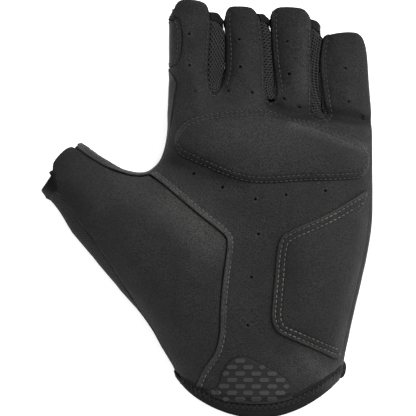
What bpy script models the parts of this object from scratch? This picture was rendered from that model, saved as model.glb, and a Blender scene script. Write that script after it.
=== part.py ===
# A fingerless cycling glove for the left hand, lying on its back.
# +Y points to the fingers, -X to the thumb and +Z out of the palm. The glove is a hollow hand form,
# cut along its seams into sewn panels, each a thin closed wall. Pads and patches lie on the palm.
# Outlines and seams are short tables of shares of the glove's width and length.

import math
from collections import defaultdict, namedtuple

import bpy
import numpy as np
from mathutils import Matrix
from mathutils.geometry import delaunay_2d_cdt

# Driving sizes, in metres
GLOVE_WIDTH = 0.1432
GLOVE_LENGTH = 0.1780
SIDE_SEAM_HEIGHT = 0.0085
HAND_FULLNESS = 0.0170
BACK_FLATTENING = 0.0025
FINGER_CURL = 0.0050
THUMB_LIFT = 0.0060
SLIT_GAP = 0.0007
SEAM_GAP = 0.0003
PERFORATION_DIAMETER = 0.0012

# Walls and how far each kind of piece stands out past the hand form
SUEDE_WALL = 0.0012
MESH_WALL = 0.0010
BACK_WALL = 0.0012
BINDING_WALL = 0.0014
LAP_RISE = 0.0005
HEM_RISE = 0.0003
BINDING_RISE = 0.0006

# Pads, patch and strap
SEAT_GAP = 0.0003
PAD_EDGE = 0.0010
PAD_SHOULDER = 0.0075
HEEL_PAD_RISE = 0.0022
KNUCKLE_PAD_RISE = 0.0026
GRIP_THICKNESS = 0.0010
STRAP_THICKNESS = 0.0018
STRAP_MARGIN = 0.0012
STRAP_DRAPE = 0.0090

# Mesh spacing
GRID_STEP = 0.0068
EDGE_STEP = 0.0048
FINEST_STEP = 0.0014
TURN_STEP = math.radians(26)
CURVE_SAMPLES = 12
ROUNDING_ROWS = (0.0011, 0.0042)
ROW_CLEARANCES = (0.0006, 0.0014)
ROW_SPACING = 0.0018
WELD_REACH = 0.0009
GHOST_LENGTH = 0.0600
PERFORATION_SIDES = 6

# Shares of the spacings above that keep the rows, the grid and the seams apart
ROW_TOLERANCE = 0.97
ROW_END_CLEARANCE = 1.35
GRID_TO_SEAM = 0.45
GRID_TO_SIDE = 0.40
GRID_TO_ROW = 0.55

MITRE_LIMIT = 0.5
SMOOTH_BELOW = math.radians(50)

Side = namedtuple("Side", "route leaves_start leaves_end")
Slit = namedtuple("Slit", "name centre left_top left_hem right_top right_hem")
Fold = namedtuple("Fold", "across along to_across to_along half_width rise")
Mound = namedtuple("Mound", "across along radius_across radius_along rise")
Panel = namedtuple("Panel", "name colour roughness wall rise palm_seeds back_seeds")
Pad = namedtuple("Pad", "name colour roughness outline rise")

# Marks: the named places where seams meet, as (share across, share along)
MARKS = {
    "wrist_left": (0.404, 0.091),
    "binding_left": (0.398, 0.108),
    "thumb_hem_low": (0.017, 0.524),
    "thumb_low": (0.000, 0.541),
    "thumb_hem_palm": (0.039, 0.583),
    "thumb_hem_mesh": (0.048, 0.543),
    "band_palm": (0.106, 0.647),
    "thumb_high": (0.120, 0.656),
    "thumb_hem_high": (0.146, 0.643),
    "crotch_seam": (0.322, 0.581),
    "tab_low": (0.382, 0.837),
    "index_hem_left": (0.383, 0.943),
    "index_left": (0.386, 0.963),
    "index_strip_right": (0.504, 0.970),
    "index_strip_low": (0.507, 0.950),
    "middle_strip_left": (0.552, 0.968),
    "middle_strip_right": (0.647, 0.966),
    "middle_strip_low": (0.657, 0.949),
    "ring_strip_left": (0.691, 0.972),
    "ring_strip_right": (0.808, 0.953),
    "ring_strip_low": (0.808, 0.933),
    "little_strip_left": (0.849, 0.914),
    "little_strip_right": (0.967, 0.897),
    "little_right": (0.977, 0.891),
    "little_hem_right": (0.984, 0.866),
    "binding_right": (0.903, 0.119),
    "wrist_right": (0.892, 0.083),
    "binding_mesh": (0.416, 0.094),
    "binding_thumb": (0.464, 0.070),
    "index_back_gusset": (0.522, 0.948),
    "middle_back_left": (0.570, 0.946),
    "middle_back_right": (0.660, 0.946),
    "ring_back_left": (0.708, 0.946),
    "ring_back_right": (0.812, 0.930),
    "little_back_left": (0.863, 0.884),
    "band_back_seam": (0.340, 0.573),
    "binding_back_seam": (0.486, 0.090),
}

# Where the fingers start to curl, along; the line that the thumb rises along, and the width
# across its root over which that rise sets in
CURL_START = 0.72
THUMB_ROOT = (0.34, 0.44)
THUMB_TIP = (0.06, 0.60)
THUMB_ROOT_FADE = 0.16

# Slits between the fingers, from the tips down to the crotch, and the share of their length over
# which they close there
SLIT_TAPER = 1 / 3
SLITS = [
    Slit("index_middle", [(0.5455, 0.952), (0.547, 0.915), (0.548, 0.856), (0.543, 0.820), (0.529, 0.791)],
         0.952, 0.932, 0.952, 0.934),
    Slit("middle_ring", [(0.6830, 0.954), (0.685, 0.905), (0.688, 0.856), (0.694, 0.820), (0.693, 0.784)],
         0.954, 0.934, 0.954, 0.934),
    Slit("ring_little", [(0.8390, 0.940), (0.838, 0.900), (0.826, 0.856), (0.825, 0.800), (0.836, 0.738)],
         0.940, 0.916, 0.909, 0.886),
]

# Sewn or folded sides, where the palm side and the back meet: below the thumb, along the web
# between thumb and index finger, and along the little finger
SIDES = [
    Side(["wrist_left", "binding_left", (0.360, 0.158), (0.321, 0.216), (0.231, 0.303), (0.147, 0.384),
          (0.087, 0.443), (0.057, 0.484), (0.036, 0.508), "thumb_hem_low", "thumb_low"],
         (0.05, -1), (-0.74, 0.67)),
    Side(["thumb_high", "thumb_hem_high", (0.192, 0.620), (0.250, 0.593), (0.312, 0.588), (0.350, 0.610),
          (0.371, 0.656), (0.378, 0.748), "tab_low", "index_hem_left", "index_left"],
         (-0.74, 0.67), (0, 1)),
    Side(["little_right", "little_hem_right", (0.989, 0.808), (0.998, 0.711), (1.0, 0.610),
          (0.998, 0.458), (0.985, 0.390), (0.964, 0.313), (0.931, 0.199), "binding_right", "wrist_right"],
         (-0.05, 1), (-0.15, -1)),
]

# Open ends, palm side and back
PALM_ENDS = [
    ["thumb_low", (0.020, 0.562), "thumb_hem_palm"],
    ["thumb_hem_palm", (0.041, 0.606), (0.061, 0.629), (0.089, 0.647), "band_palm"],
    ["band_palm", "thumb_high"],
    ["index_left", (0.398, 0.973), (0.405, 0.990), (0.420, 0.9985), (0.480, 0.995), (0.496, 0.986),
     "index_strip_right"],
    ["index_strip_right", (0.530, 0.968), "index_middle_left_top"],
    ["index_middle_right_top", "middle_strip_left"],
    ["middle_strip_left", (0.562, 0.982), (0.595, 0.984), (0.630, 0.980), "middle_strip_right"],
    ["middle_strip_right", (0.668, 0.966), "middle_ring_left_top"],
    ["middle_ring_right_top", "ring_strip_left"],
    ["ring_strip_left", (0.706, 0.981), (0.745, 0.982), (0.785, 0.977), "ring_strip_right"],
    ["ring_strip_right", (0.826, 0.949), "ring_little_left_top"],
    ["ring_little_right_top", "little_strip_left"],
    ["little_strip_left", (0.880, 0.920), (0.941, 0.921), (0.958, 0.911), "little_strip_right"],
    ["little_strip_right", "little_right"],
    ["wrist_right", (0.838, 0.050), (0.775, 0.022), (0.700, 0.003), (0.628, 0.0), (0.560, 0.010),
     (0.490, 0.033), (0.435, 0.063), "wrist_left"],
]
BACK_ENDS = [
    ["thumb_low", (0.045, 0.586), (0.085, 0.628), "thumb_high"],
    ["index_left", (0.400, 0.969), (0.460, 0.973), (0.520, 0.970), "index_middle_left_top"],
    ["index_middle_right_top", (0.557, 0.965), (0.615, 0.969), (0.670, 0.966), "middle_ring_left_top"],
    ["middle_ring_right_top", (0.697, 0.964), (0.755, 0.963), (0.822, 0.954), "ring_little_left_top"],
    ["ring_little_right_top", (0.856, 0.908), (0.920, 0.906), "little_right"],
    ["wrist_right", (0.800, 0.062), (0.628, 0.050), (0.490, 0.062), "wrist_left"],
]

# Seams of the palm side
PALM_SEAMS = [
    ["thumb_hem_low", (0.033, 0.536), "thumb_hem_mesh", (0.045, 0.563), "thumb_hem_palm"],
    ["thumb_hem_mesh", (0.093, 0.493), (0.177, 0.401), (0.267, 0.289), (0.327, 0.215), (0.380, 0.150),
     "binding_mesh"],
    ["binding_left", "binding_mesh", (0.440, 0.081), "binding_thumb", (0.532, 0.043), (0.613, 0.033),
     (0.680, 0.033), (0.748, 0.045), (0.838, 0.082), "binding_right"],
    ["band_palm", (0.147, 0.623), (0.207, 0.594), (0.270, 0.577), "crotch_seam", (0.362, 0.615),
     (0.387, 0.687), (0.399, 0.760), (0.405, 0.806), "tab_low"],
    ["tab_low", (0.410, 0.846), (0.421, 0.885), (0.420, 0.935), (0.408, 0.957), "index_left"],
    ["crotch_seam", (0.357, 0.562), (0.417, 0.522), (0.477, 0.481), (0.527, 0.450), (0.554, 0.428),
     (0.555, 0.400), (0.545, 0.344), (0.536, 0.260), (0.534, 0.199), (0.520, 0.155), (0.485, 0.113),
     "binding_thumb"],
    ["index_strip_right", "index_strip_low"],
    ["index_strip_low", (0.530, 0.946), "index_middle_left_hem"],
    ["index_strip_low", (0.502, 0.880), (0.499, 0.820), (0.505, 0.785), (0.520, 0.774), (0.538, 0.786),
     (0.553, 0.820), (0.557, 0.870), (0.553, 0.930), "middle_strip_left"],
    ["middle_strip_right", "middle_strip_low"],
    ["middle_strip_low", (0.670, 0.947), "middle_ring_left_hem"],
    ["middle_strip_low", (0.664, 0.890), (0.668, 0.830), (0.668, 0.785), (0.678, 0.762), (0.692, 0.759),
     (0.706, 0.772), (0.706, 0.805), (0.698, 0.850), (0.692, 0.920), "ring_strip_left"],
    ["ring_strip_right", "ring_strip_low"],
    ["ring_strip_low", (0.822, 0.928), "ring_little_left_hem"],
    ["ring_strip_low", (0.806, 0.870), (0.807, 0.800), (0.810, 0.745), (0.819, 0.720), (0.834, 0.712),
     (0.849, 0.721), (0.852, 0.745), (0.844, 0.790), (0.838, 0.845), (0.841, 0.885), "little_strip_left"],
    ["little_strip_right", (0.974, 0.866), (0.979, 0.808), (0.988, 0.711), (0.990, 0.610),
     (0.988, 0.458), (0.975, 0.390), (0.954, 0.313), (0.921, 0.199), "binding_right"],
]

# Seams of the back
BACK_SEAMS = [
    ["thumb_hem_low", (0.062, 0.563), (0.104, 0.608), "thumb_hem_high"],
    ["thumb_hem_high", (0.192, 0.602), (0.250, 0.576), (0.300, 0.567), "band_back_seam", (0.377, 0.612),
     (0.396, 0.680), (0.403, 0.750), (0.401, 0.800), "tab_low"],
    ["tab_low", (0.405, 0.850), (0.411, 0.890), (0.405, 0.930), "index_hem_left"],
    ["index_hem_left", (0.450, 0.953), "index_back_gusset", "index_middle_left_hem"],
    ["index_back_gusset", (0.523, 0.870), (0.518, 0.805), (0.528, 0.775), (0.548, 0.782), (0.566, 0.820),
     (0.570, 0.880), "middle_back_left"],
    ["index_middle_right_hem", "middle_back_left", (0.615, 0.949), "middle_back_right",
     "middle_ring_left_hem"],
    ["middle_back_right", (0.664, 0.870), (0.672, 0.805), (0.682, 0.768), (0.702, 0.768), (0.714, 0.805),
     (0.712, 0.870), "ring_back_left"],
    ["middle_ring_right_hem", "ring_back_left", (0.755, 0.943), "ring_back_right", "ring_little_left_hem"],
    ["ring_back_right", (0.808, 0.870), (0.802, 0.790), (0.812, 0.735), (0.832, 0.716), (0.856, 0.730),
     (0.858, 0.790), (0.853, 0.845), "little_back_left"],
    ["ring_little_right_hem", "little_back_left", (0.920, 0.884), "little_hem_right"],
    ["band_back_seam", (0.380, 0.520), (0.420, 0.400), (0.455, 0.270), (0.476, 0.165), "binding_back_seam"],
    ["binding_left", "binding_back_seam", (0.628, 0.080), (0.760, 0.086), "binding_right"],
]

# Raised panels on the palm, as closed outlines
HEEL_OUTLINE = [(0.970, 0.544), (0.928, 0.525), (0.868, 0.496), (0.808, 0.472), (0.745, 0.450),
                (0.716, 0.434), (0.704, 0.408), (0.696, 0.350), (0.688, 0.280), (0.685, 0.234),
                (0.703, 0.203), (0.760, 0.180), (0.838, 0.152), (0.880, 0.138), (0.893, 0.148),
                (0.906, 0.200), (0.938, 0.313), (0.959, 0.390), (0.973, 0.460), (0.976, 0.530)]
KNUCKLE_OUTLINE = [(0.400, 0.655), (0.412, 0.690), (0.447, 0.715), (0.520, 0.728), (0.613, 0.735),
                   (0.685, 0.735), (0.760, 0.717), (0.838, 0.697), (0.905, 0.677), (0.952, 0.662),
                   (0.977, 0.637), (0.980, 0.603), (0.958, 0.573), (0.898, 0.565), (0.790, 0.562),
                   (0.673, 0.557), (0.613, 0.560), (0.540, 0.579), (0.460, 0.607), (0.415, 0.626)]
GRIP_OUTLINE = [(0.566, 0.140), (0.600, 0.150), (0.658, 0.130), (0.715, 0.104), (0.741, 0.082),
                (0.749, 0.050), (0.690, 0.000), (0.560, 0.000), (0.512, 0.030), (0.496, 0.060),
                (0.530, 0.078), (0.543, 0.110)]
STRAP_OUTLINE = [(0.640, 0.190), (0.780, 0.180), (0.900, 0.137), (0.917, 0.120), (0.910, 0.090),
                 (0.893, 0.085), (0.780, 0.098), (0.640, 0.105), (0.630, 0.147)]

# Air holes of the palm
PERFORATIONS = [
    (0.444, 0.917), (0.444, 0.842), (0.462, 0.779), (0.593, 0.905), (0.596, 0.839), (0.560, 0.781),
    (0.631, 0.777), (0.736, 0.900), (0.742, 0.822), (0.727, 0.762), (0.773, 0.743), (0.910, 0.835),
    (0.919, 0.755), (0.965, 0.718), (0.456, 0.582), (0.542, 0.550), (0.640, 0.521), (0.731, 0.531),
    (0.847, 0.541), (0.649, 0.438), (0.628, 0.335), (0.617, 0.221),
]

# The palm's soft forms: rises and hollows, in shares and metres
MOUNDS = [
    Mound(0.330, 0.400, 0.150, 0.110, 0.0030),
    Mound(0.860, 0.330, 0.120, 0.130, 0.0016),
    Mound(0.630, 0.400, 0.110, 0.110, -0.0030),
    Mound(0.680, 0.640, 0.300, 0.080, 0.0012),
    Mound(0.625, 0.170, 0.140, 0.090, -0.0015),
]
FOLDS = [
    Fold(0.690, 0.752, 0.808, 0.722, 0.0040, -0.0012),
    Fold(0.853, 0.728, 0.973, 0.712, 0.0040, -0.0012),
    Fold(0.400, 0.600, 0.520, 0.560, 0.0055, -0.0010),
    Fold(0.255, 0.560, 0.330, 0.430, 0.0080, -0.0010),
    Fold(0.100, 0.600, 0.190, 0.560, 0.0060, -0.0010),
]

# Colours are linear light
SUEDE = (0.030, 0.030, 0.031, 1)
KNIT = (0.020, 0.020, 0.021, 1)
WHITE = (0.78, 0.76, 0.76, 1)
RUBBER = (0.024, 0.024, 0.025, 1)
ELASTIC = (0.026, 0.026, 0.027, 1)

# Panels with a point inside each stretch they cover, on the palm side and on the back
PANELS = [
    Panel("palm_panel", SUEDE, 0.9, SUEDE_WALL, LAP_RISE, [(0.620, 0.480)], []),
    Panel("thumb_panel", SUEDE, 0.9, SUEDE_WALL, 0, [(0.330, 0.400)], []),
    Panel("index_side_tab", SUEDE, 0.9, SUEDE_WALL, HEM_RISE, [(0.402, 0.900)], [(0.396, 0.890)]),
    Panel("thumb_web_band", ELASTIC, 0.8, SUEDE_WALL, HEM_RISE, [(0.318, 0.5845)], [(0.318, 0.577)]),
    Panel("gusset_index_middle", KNIT, 0.85, MESH_WALL, 0, [(0.520, 0.785)], [(0.529, 0.782)]),
    Panel("gusset_middle_ring", KNIT, 0.85, MESH_WALL, 0, [(0.692, 0.770)], [(0.692, 0.774)]),
    Panel("gusset_ring_little", KNIT, 0.85, MESH_WALL, 0, [(0.834, 0.725)], [(0.834, 0.726)]),
    Panel("thumb_back_mesh", KNIT, 0.85, MESH_WALL, 0, [(0.130, 0.427)], [(0.250, 0.450)]),
    Panel("back_panel", WHITE, 0.9, BACK_WALL, 0, [(0.994, 0.580)], [(0.700, 0.450)]),
    Panel("thumb_hem", ELASTIC, 0.8, BINDING_WALL, HEM_RISE, [(0.030, 0.555)], [(0.075, 0.600)]),
    Panel("index_hem", ELASTIC, 0.8, BINDING_WALL, HEM_RISE, [(0.525, 0.957)], [(0.460, 0.962)]),
    Panel("middle_hem", ELASTIC, 0.8, BINDING_WALL, HEM_RISE, [(0.667, 0.956)], [(0.615, 0.958)]),
    Panel("ring_hem", ELASTIC, 0.8, BINDING_WALL, HEM_RISE, [(0.823, 0.938)], [(0.755, 0.953)]),
    Panel("little_hem", ELASTIC, 0.8, BINDING_WALL, HEM_RISE, [], [(0.920, 0.895)]),
    Panel("wrist_binding", ELASTIC, 0.8, BINDING_WALL, BINDING_RISE, [(0.628, 0.017)], [(0.628, 0.065)]),
]
PADS = [
    Pad("heel_pad", SUEDE, 0.9, HEEL_OUTLINE, HEEL_PAD_RISE),
    Pad("knuckle_pad", SUEDE, 0.9, KNUCKLE_OUTLINE, KNUCKLE_PAD_RISE),
    Pad("grip_patch", RUBBER, 0.6, GRIP_OUTLINE, GRIP_THICKNESS),
]


def place(share):
    """A point of the plan, in metres, from its shares across and along."""
    return np.array([(share[0] - 0.5) * GLOVE_WIDTH, (share[1] - 0.5) * GLOVE_LENGTH])


def smooth_route(points, closed=False):
    """A dense smooth curve through the points, and each point's index on it."""
    points = np.array(points)
    if closed:
        ringed = np.vstack([points[-1:], points, points[:2]])
    else:
        ringed = np.vstack([2 * points[0] - points[1], points, 2 * points[-1] - points[-2]])
    dense, corners = [], []
    for p0, p1, p2, p3 in zip(ringed, ringed[1:], ringed[2:], ringed[3:]):
        corners.append(len(dense))
        t1 = math.dist(p0, p1) ** 0.5
        t2 = t1 + math.dist(p1, p2) ** 0.5
        t3 = t2 + math.dist(p2, p3) ** 0.5
        for t in np.linspace(t1, t2, CURVE_SAMPLES, endpoint=False):
            a1 = (t1 - t) / t1 * p0 + t / t1 * p1
            a2 = (t2 - t) / (t2 - t1) * p1 + (t - t1) / (t2 - t1) * p2
            a3 = (t3 - t) / (t3 - t2) * p2 + (t - t2) / (t3 - t2) * p3
            b1 = (t2 - t) / t2 * a1 + t / t2 * a2
            b2 = (t3 - t) / (t3 - t1) * a2 + (t - t1) / (t3 - t1) * a3
            dense.append((t2 - t) / (t2 - t1) * b1 + (t - t1) / (t2 - t1) * b2)
    corners.append(len(dense))
    dense.append(ringed[-2])
    return np.array(dense), corners


def resample(dense, graded_start=False, graded_end=False):
    """Points of a curve, closer where it turns, with the rounding rows at its graded ends."""
    runs = np.diff(dense, axis=0)
    lengths = np.linalg.norm(runs, axis=1)
    headings = np.unwrap(np.arctan2(runs[:, 1], runs[:, 0]))
    turns = np.abs(np.gradient(headings)) if len(headings) > 1 else np.zeros(1)
    weights = np.minimum(lengths / FINEST_STEP, lengths / EDGE_STEP + turns / TURN_STEP)
    effort = np.concatenate([[0], np.cumsum(weights)])
    steps = np.concatenate([[0], np.cumsum(lengths)])
    length = steps[-1]
    count = max(1, round(effort[-1]))
    stops = np.interp(np.linspace(0, effort[-1], count + 1), effort, steps)
    first, second = ROUNDING_ROWS
    inner = stops[1:-1]
    added = []
    if graded_start and length > 2 * second:
        inner = inner[inner > second * ROW_END_CLEARANCE]
        added += [first, second]
    if graded_end and length > 2 * second:
        inner = inner[inner < length - second * ROW_END_CLEARANCE]
        added += [length - first, length - second]
    stops = sorted([0, *inner, *added, length])
    return np.column_stack([np.interp(stops, steps, dense[:, axis]) for axis in (0, 1)])


def trace(route, marks, side_marks=()):
    """The sampled route through named marks and free points; every mark is one of its samples."""
    points = [marks[stop] if isinstance(stop, str) else place(stop) for stop in route]
    dense, corners = smooth_route(points)
    named = [index for index, stop in enumerate(route) if isinstance(stop, str)]
    pieces = []
    for start, end in zip(named, named[1:]):
        piece = resample(dense[corners[start]:corners[end] + 1],
                         route[start] in side_marks, route[end] in side_marks)
        piece[0], piece[-1] = points[start], points[end]
        pieces.append(piece if not pieces else piece[1:])
    return np.vstack(pieces)


def slit_sides(slit, marks):
    """The two edges of a slit between fingers, which narrows to one point at the crotch."""
    dense, _ = smooth_route([place(share) for share in slit.centre])
    top = place((0, slit.centre[0][1]))[1]
    bottom = dense[-1][1]

    def edge_point(height, hand):
        across = np.interp(-height, -dense[:, 1], dense[:, 0])
        opening = SLIT_GAP / 2 * min(1, (height - bottom) / (top - bottom) / SLIT_TAPER)
        return np.array([across + hand * opening, height])

    edges = []
    for hand, label, mouth, hem in ((-1, "left", slit.left_top, slit.left_hem),
                                    (1, "right", slit.right_top, slit.right_hem)):
        mouth_y, hem_y = place((0, mouth))[1], place((0, hem))[1]
        marks[f"{slit.name}_{label}_top"] = edge_point(mouth_y, hand)
        marks[f"{slit.name}_{label}_hem"] = edge_point(hem_y, hand)
        heights = np.linspace(hem_y, bottom, round((hem_y - bottom) / EDGE_STEP) + 1)[:-1]
        edges.append(np.array([edge_point(mouth_y, hand)] + [edge_point(y, hand) for y in heights]
                              + [dense[-1]]))
    marks[f"{slit.name}_end"] = dense[-1]
    return edges


def nearest_distance(points, segments):
    """Distance from each point to the nearest of the segments."""
    starts, ends = segments[:, 0], segments[:, 1]
    runs = ends - starts
    lengths = np.maximum((runs ** 2).sum(axis=1), 1e-18)
    offsets = points[:, None] - starts[None]
    along = np.clip((offsets * runs).sum(axis=2) / lengths, 0, 1)
    return np.linalg.norm(offsets - along[..., None] * runs, axis=2).min(axis=1)


def inside(points, outline):
    """Whether each point lies inside a closed outline."""
    result = np.zeros(len(points), dtype=bool)
    for (x1, y1), (x2, y2) in zip(outline, np.roll(outline, -1, axis=0)):
        crosses = (y1 > points[:, 1]) != (y2 > points[:, 1])
        if y1 != y2:
            result ^= crosses & (points[:, 0] < (x2 - x1) * (points[:, 1] - y1) / (y2 - y1) + x1)
    return result


def to_segments(routes):
    return np.array([pair for route in routes for pair in zip(route, route[1:])])


def half_height(points, walls):
    """Half the hand's height over the plan: round in the fingers, full in the palm, nil at the sides."""
    starts, ends = walls[:, 0], walls[:, 1]
    runs = ends - starts
    lengths = np.linalg.norm(runs, axis=1)
    runs = runs / lengths[:, None]
    offsets = points[:, None] - starts[None]
    along = (offsets * runs).sum(axis=2)
    away = np.abs(offsets[..., 0] * runs[:, 1] - offsets[..., 1] * runs[:, 0]).clip(1e-7)
    pull = ((np.arctan((lengths - along) / away) + np.arctan(along / away)) / away).sum(axis=1)
    return np.sqrt(HAND_FULLNESS * math.pi / pull)


def lift(points):
    """How far the fingers and the thumb curl up off the surface that the glove lies on."""
    across = points[:, 0] / GLOVE_WIDTH + 0.5
    along = points[:, 1] / GLOVE_LENGTH + 0.5
    reach = np.clip((along - CURL_START) / (1 - CURL_START), 0, None)
    root, tip = place(THUMB_ROOT), place(THUMB_TIP)
    thumb_reach = np.clip((points - root) @ (tip - root) / ((tip - root) ** 2).sum(), 0, None)
    beside = np.clip((THUMB_ROOT[0] - across) / THUMB_ROOT_FADE + 1 / 2, 0, 1)
    return FINGER_CURL * reach ** 2 + THUMB_LIFT * beside * thumb_reach ** 2


def relief(points):
    """The palm's mounds and folds."""
    result = np.zeros(len(points))
    for mound in MOUNDS:
        offset = (points - place((mound.across, mound.along))) / (GLOVE_WIDTH, GLOVE_LENGTH)
        spread = (offset / (mound.radius_across, mound.radius_along)) ** 2
        result += mound.rise * np.exp(-spread.sum(axis=1))
    for fold in FOLDS:
        line = np.array([[place((fold.across, fold.along)), place((fold.to_across, fold.to_along))]])
        result += fold.rise * np.exp(-(nearest_distance(points, line) / fold.half_width) ** 2)
    return result


def palm_height(points, walls):
    height = half_height(points, walls)
    fade = np.clip(height / SIDE_SEAM_HEIGHT, 0, 1) ** 2
    return SIDE_SEAM_HEIGHT + lift(points) + height + relief(points) * fade


def rest_height(points, strap):
    """The height that the back rests on: the surface below, and the strap that lies on it."""
    away = nearest_distance(points, to_segments([np.vstack([strap, strap[:1]])]))
    away = np.where(inside(points, strap), 0, away)
    ease = np.clip(1 - away / STRAP_DRAPE, 0, 1)
    return (STRAP_THICKNESS + SEAT_GAP) * ease ** 2 * (3 - 2 * ease)


def back_height(points, walls, strap):
    """The back, flattened where it rests."""
    height = half_height(points, walls)
    soft = BACK_FLATTENING
    near = np.clip(soft - np.abs(height - SIDE_SEAM_HEIGHT), 0, None)
    drop = np.minimum(height, SIDE_SEAM_HEIGHT) - near ** 2 / (4 * soft)
    return np.maximum(SIDE_SEAM_HEIGHT - drop + lift(points), rest_height(points, strap))


def rounding_rows(routes, outline, walls, fixed):
    """Rows of points beside the sides, which round them; each row is in unbroken stretches."""
    stretches, kept = [], np.empty((0, 2))
    for inset, clear in zip(ROUNDING_ROWS, ROW_CLEARANCES):
        for route in routes:
            runs = np.gradient(route, axis=0)
            normals = np.column_stack([-runs[:, 1], runs[:, 0]]) / np.linalg.norm(runs, axis=1)[:, None]
            for hand in (-1, 1):
                row = route + hand * inset * normals
                keep = inside(row, outline)
                keep &= nearest_distance(row, walls) >= inset * ROW_TOLERANCE
                keep &= nearest_distance(row, fixed) >= clear
                current = []
                for point, good in zip(row, keep):
                    crowded = len(kept) and np.linalg.norm(kept - point, axis=1).min() < ROW_SPACING
                    if good and not crowded:
                        current.append(point)
                        kept = np.vstack([kept, point])
                    elif not good:
                        stretches.append(current)
                        current = []
                stretches.append(current)
    return [np.array(stretch) for stretch in stretches if stretch]


def grid_points(rows, outline, walls, fixed):
    """A regular grid inside the outline, clear of its rows and edges."""
    grid = np.array([(x + row % 2 * GRID_STEP / 2, y)
                     for row, y in enumerate(np.arange(-GLOVE_LENGTH / 2, GLOVE_LENGTH / 2,
                                                       GRID_STEP * math.sin(math.pi / 3)))
                     for x in np.arange(-GLOVE_WIDTH / 2, GLOVE_WIDTH / 2, GRID_STEP)])
    keep = inside(grid, outline)
    keep &= nearest_distance(grid, fixed) > GRID_STEP * GRID_TO_SEAM
    keep &= nearest_distance(grid, walls) > ROUNDING_ROWS[1] + GRID_STEP * GRID_TO_SIDE
    grid = grid[keep]
    to_rows = np.linalg.norm(grid[:, None] - np.vstack(rows)[None], axis=2).min(axis=1)
    return grid[to_rows > GRID_STEP * GRID_TO_ROW]


def triangulate(outline, seams, drawn, holes, free):
    """Triangles of one side of the glove, and the pairs of vertices that no panel crosses."""
    index, vertices, edges = {}, [], []

    def vertex(point):
        key = (round(point[0] * 1e6), round(point[1] * 1e6))
        if key not in index:
            index[key] = len(vertices)
            vertices.append((point[0] * 1000, point[1] * 1000))
        return index[key]

    for route in seams + drawn + holes:
        numbers = [vertex(point) for point in route]
        edges += list(zip(numbers, numbers[1:]))
    stops = sum(len(route) - 1 for route in seams)
    for point in free:
        vertex(point)
    points, lines, faces, vertex_sources, line_sources, _ = delaunay_2d_cdt(vertices, edges, [], 0, 1e-5)
    points = np.array(points) / 1000
    welded = np.arange(len(points))
    for a, b in lines:
        for crossing, other in ((a, b), (b, a)):
            if (not vertex_sources[crossing] and vertex_sources[other]
                    and math.dist(points[a], points[b]) < WELD_REACH):
                welded[crossing] = other
    faces = welded[np.array(faces)]
    whole = (faces[:, 0] != faces[:, 1]) & (faces[:, 1] != faces[:, 2]) & (faces[:, 2] != faces[:, 0])
    faces = faces[whole]
    centres = points[faces].mean(axis=1)
    keep = inside(centres, outline)
    for hole in holes:
        keep &= ~inside(centres, hole[:-1])
    barriers = {frozenset((int(welded[a]), int(welded[b])))
                for (a, b), sources in zip(lines, line_sources)
                if any(source < stops for source in sources)}
    return points, faces[keep], barriers


def flood(points, faces, barriers, seeds):
    """The panel's name for each face, spread from the seeds and stopped by the seams."""
    neighbours = defaultdict(list)
    for number, face in enumerate(faces):
        for a, b in zip(face, np.roll(face, -1)):
            neighbours[frozenset((int(a), int(b)))].append(number)
    names = [None] * len(faces)
    for name, share in seeds:
        seed = place(share)
        corners = points[faces]
        turned = [(corners[:, (k + 1) % 3, 0] - corners[:, k, 0]) * (seed[1] - corners[:, k, 1])
                  - (corners[:, (k + 1) % 3, 1] - corners[:, k, 1]) * (seed[0] - corners[:, k, 0])
                  for k in range(3)]
        start = int(np.argmax(np.min(turned, axis=0)))
        waiting = [start]
        names[start] = name
        while waiting:
            face = faces[waiting.pop()]
            for a, b in zip(face, np.roll(face, -1)):
                edge = frozenset((int(a), int(b)))
                if edge in barriers:
                    continue
                for other in neighbours[edge]:
                    if names[other] is None:
                        names[other] = name
                        waiting.append(other)
    return np.array(names, dtype=object)


def vertex_normals(points, faces):
    corners = points[faces]
    crosses = np.cross(corners[:, 1] - corners[:, 0], corners[:, 2] - corners[:, 0])
    normals = np.zeros_like(points)
    for k in range(3):
        np.add.at(normals, faces[:, k], crosses)
    return normals / np.linalg.norm(normals, axis=1)[:, None].clip(1e-12)


def boundary(faces):
    """The directed edges that only one of the faces has."""
    seen = {(int(a), int(b)) for face in faces for a, b in zip(face, np.roll(face, -1))}
    return [edge for edge in seen if edge[::-1] not in seen]


def drawn_in(points, normals, faces, open_edges, amount):
    """Vertex moves that draw a panel's seam edges in, along the surface."""
    pulls = defaultdict(list)
    for a, b in boundary(faces):
        if frozenset((a, b)) in open_edges:
            continue
        run = points[b] - points[a]
        for corner in (a, b):
            pull = np.cross(normals[corner], run)
            pulls[corner].append(pull / np.linalg.norm(pull))
    moves = np.zeros_like(points)
    for corner, directions in pulls.items():
        total = sum(directions)
        size = np.linalg.norm(total)
        if size > 1e-6:
            unit = total / size
            facing = float(np.mean([unit @ direction for direction in directions]))
            moves[corner] = unit * amount / max(MITRE_LIMIT, facing)
    return moves


def closed_wall(faces, outer, inner):
    """A closed solid between two copies of the faces; neighbours split their shared rim alike."""
    used = np.unique(faces)
    number = {int(old): new for new, old in enumerate(used)}
    count = len(used)
    vertices = np.vstack([outer[used], inner[used]])
    solid = []
    for face in faces:
        a, b, c = (number[int(corner)] for corner in face)
        solid += [(a, b, c), (c + count, b + count, a + count)]
    for a, b in boundary(faces):
        near, far = number[a], number[b]
        if a < b:
            solid += [(far, near, far + count), (near, near + count, far + count)]
        else:
            solid += [(far, near, near + count), (far, near + count, far + count)]
    return vertices, solid


def material(name, colour, roughness):
    made = bpy.data.materials.new(name)
    made.use_nodes = True
    shader = made.node_tree.nodes["Principled BSDF"]
    shader.inputs["Base Color"].default_value = colour
    shader.inputs["Roughness"].default_value = roughness
    shader.inputs["Metallic"].default_value = 0
    return made


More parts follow.
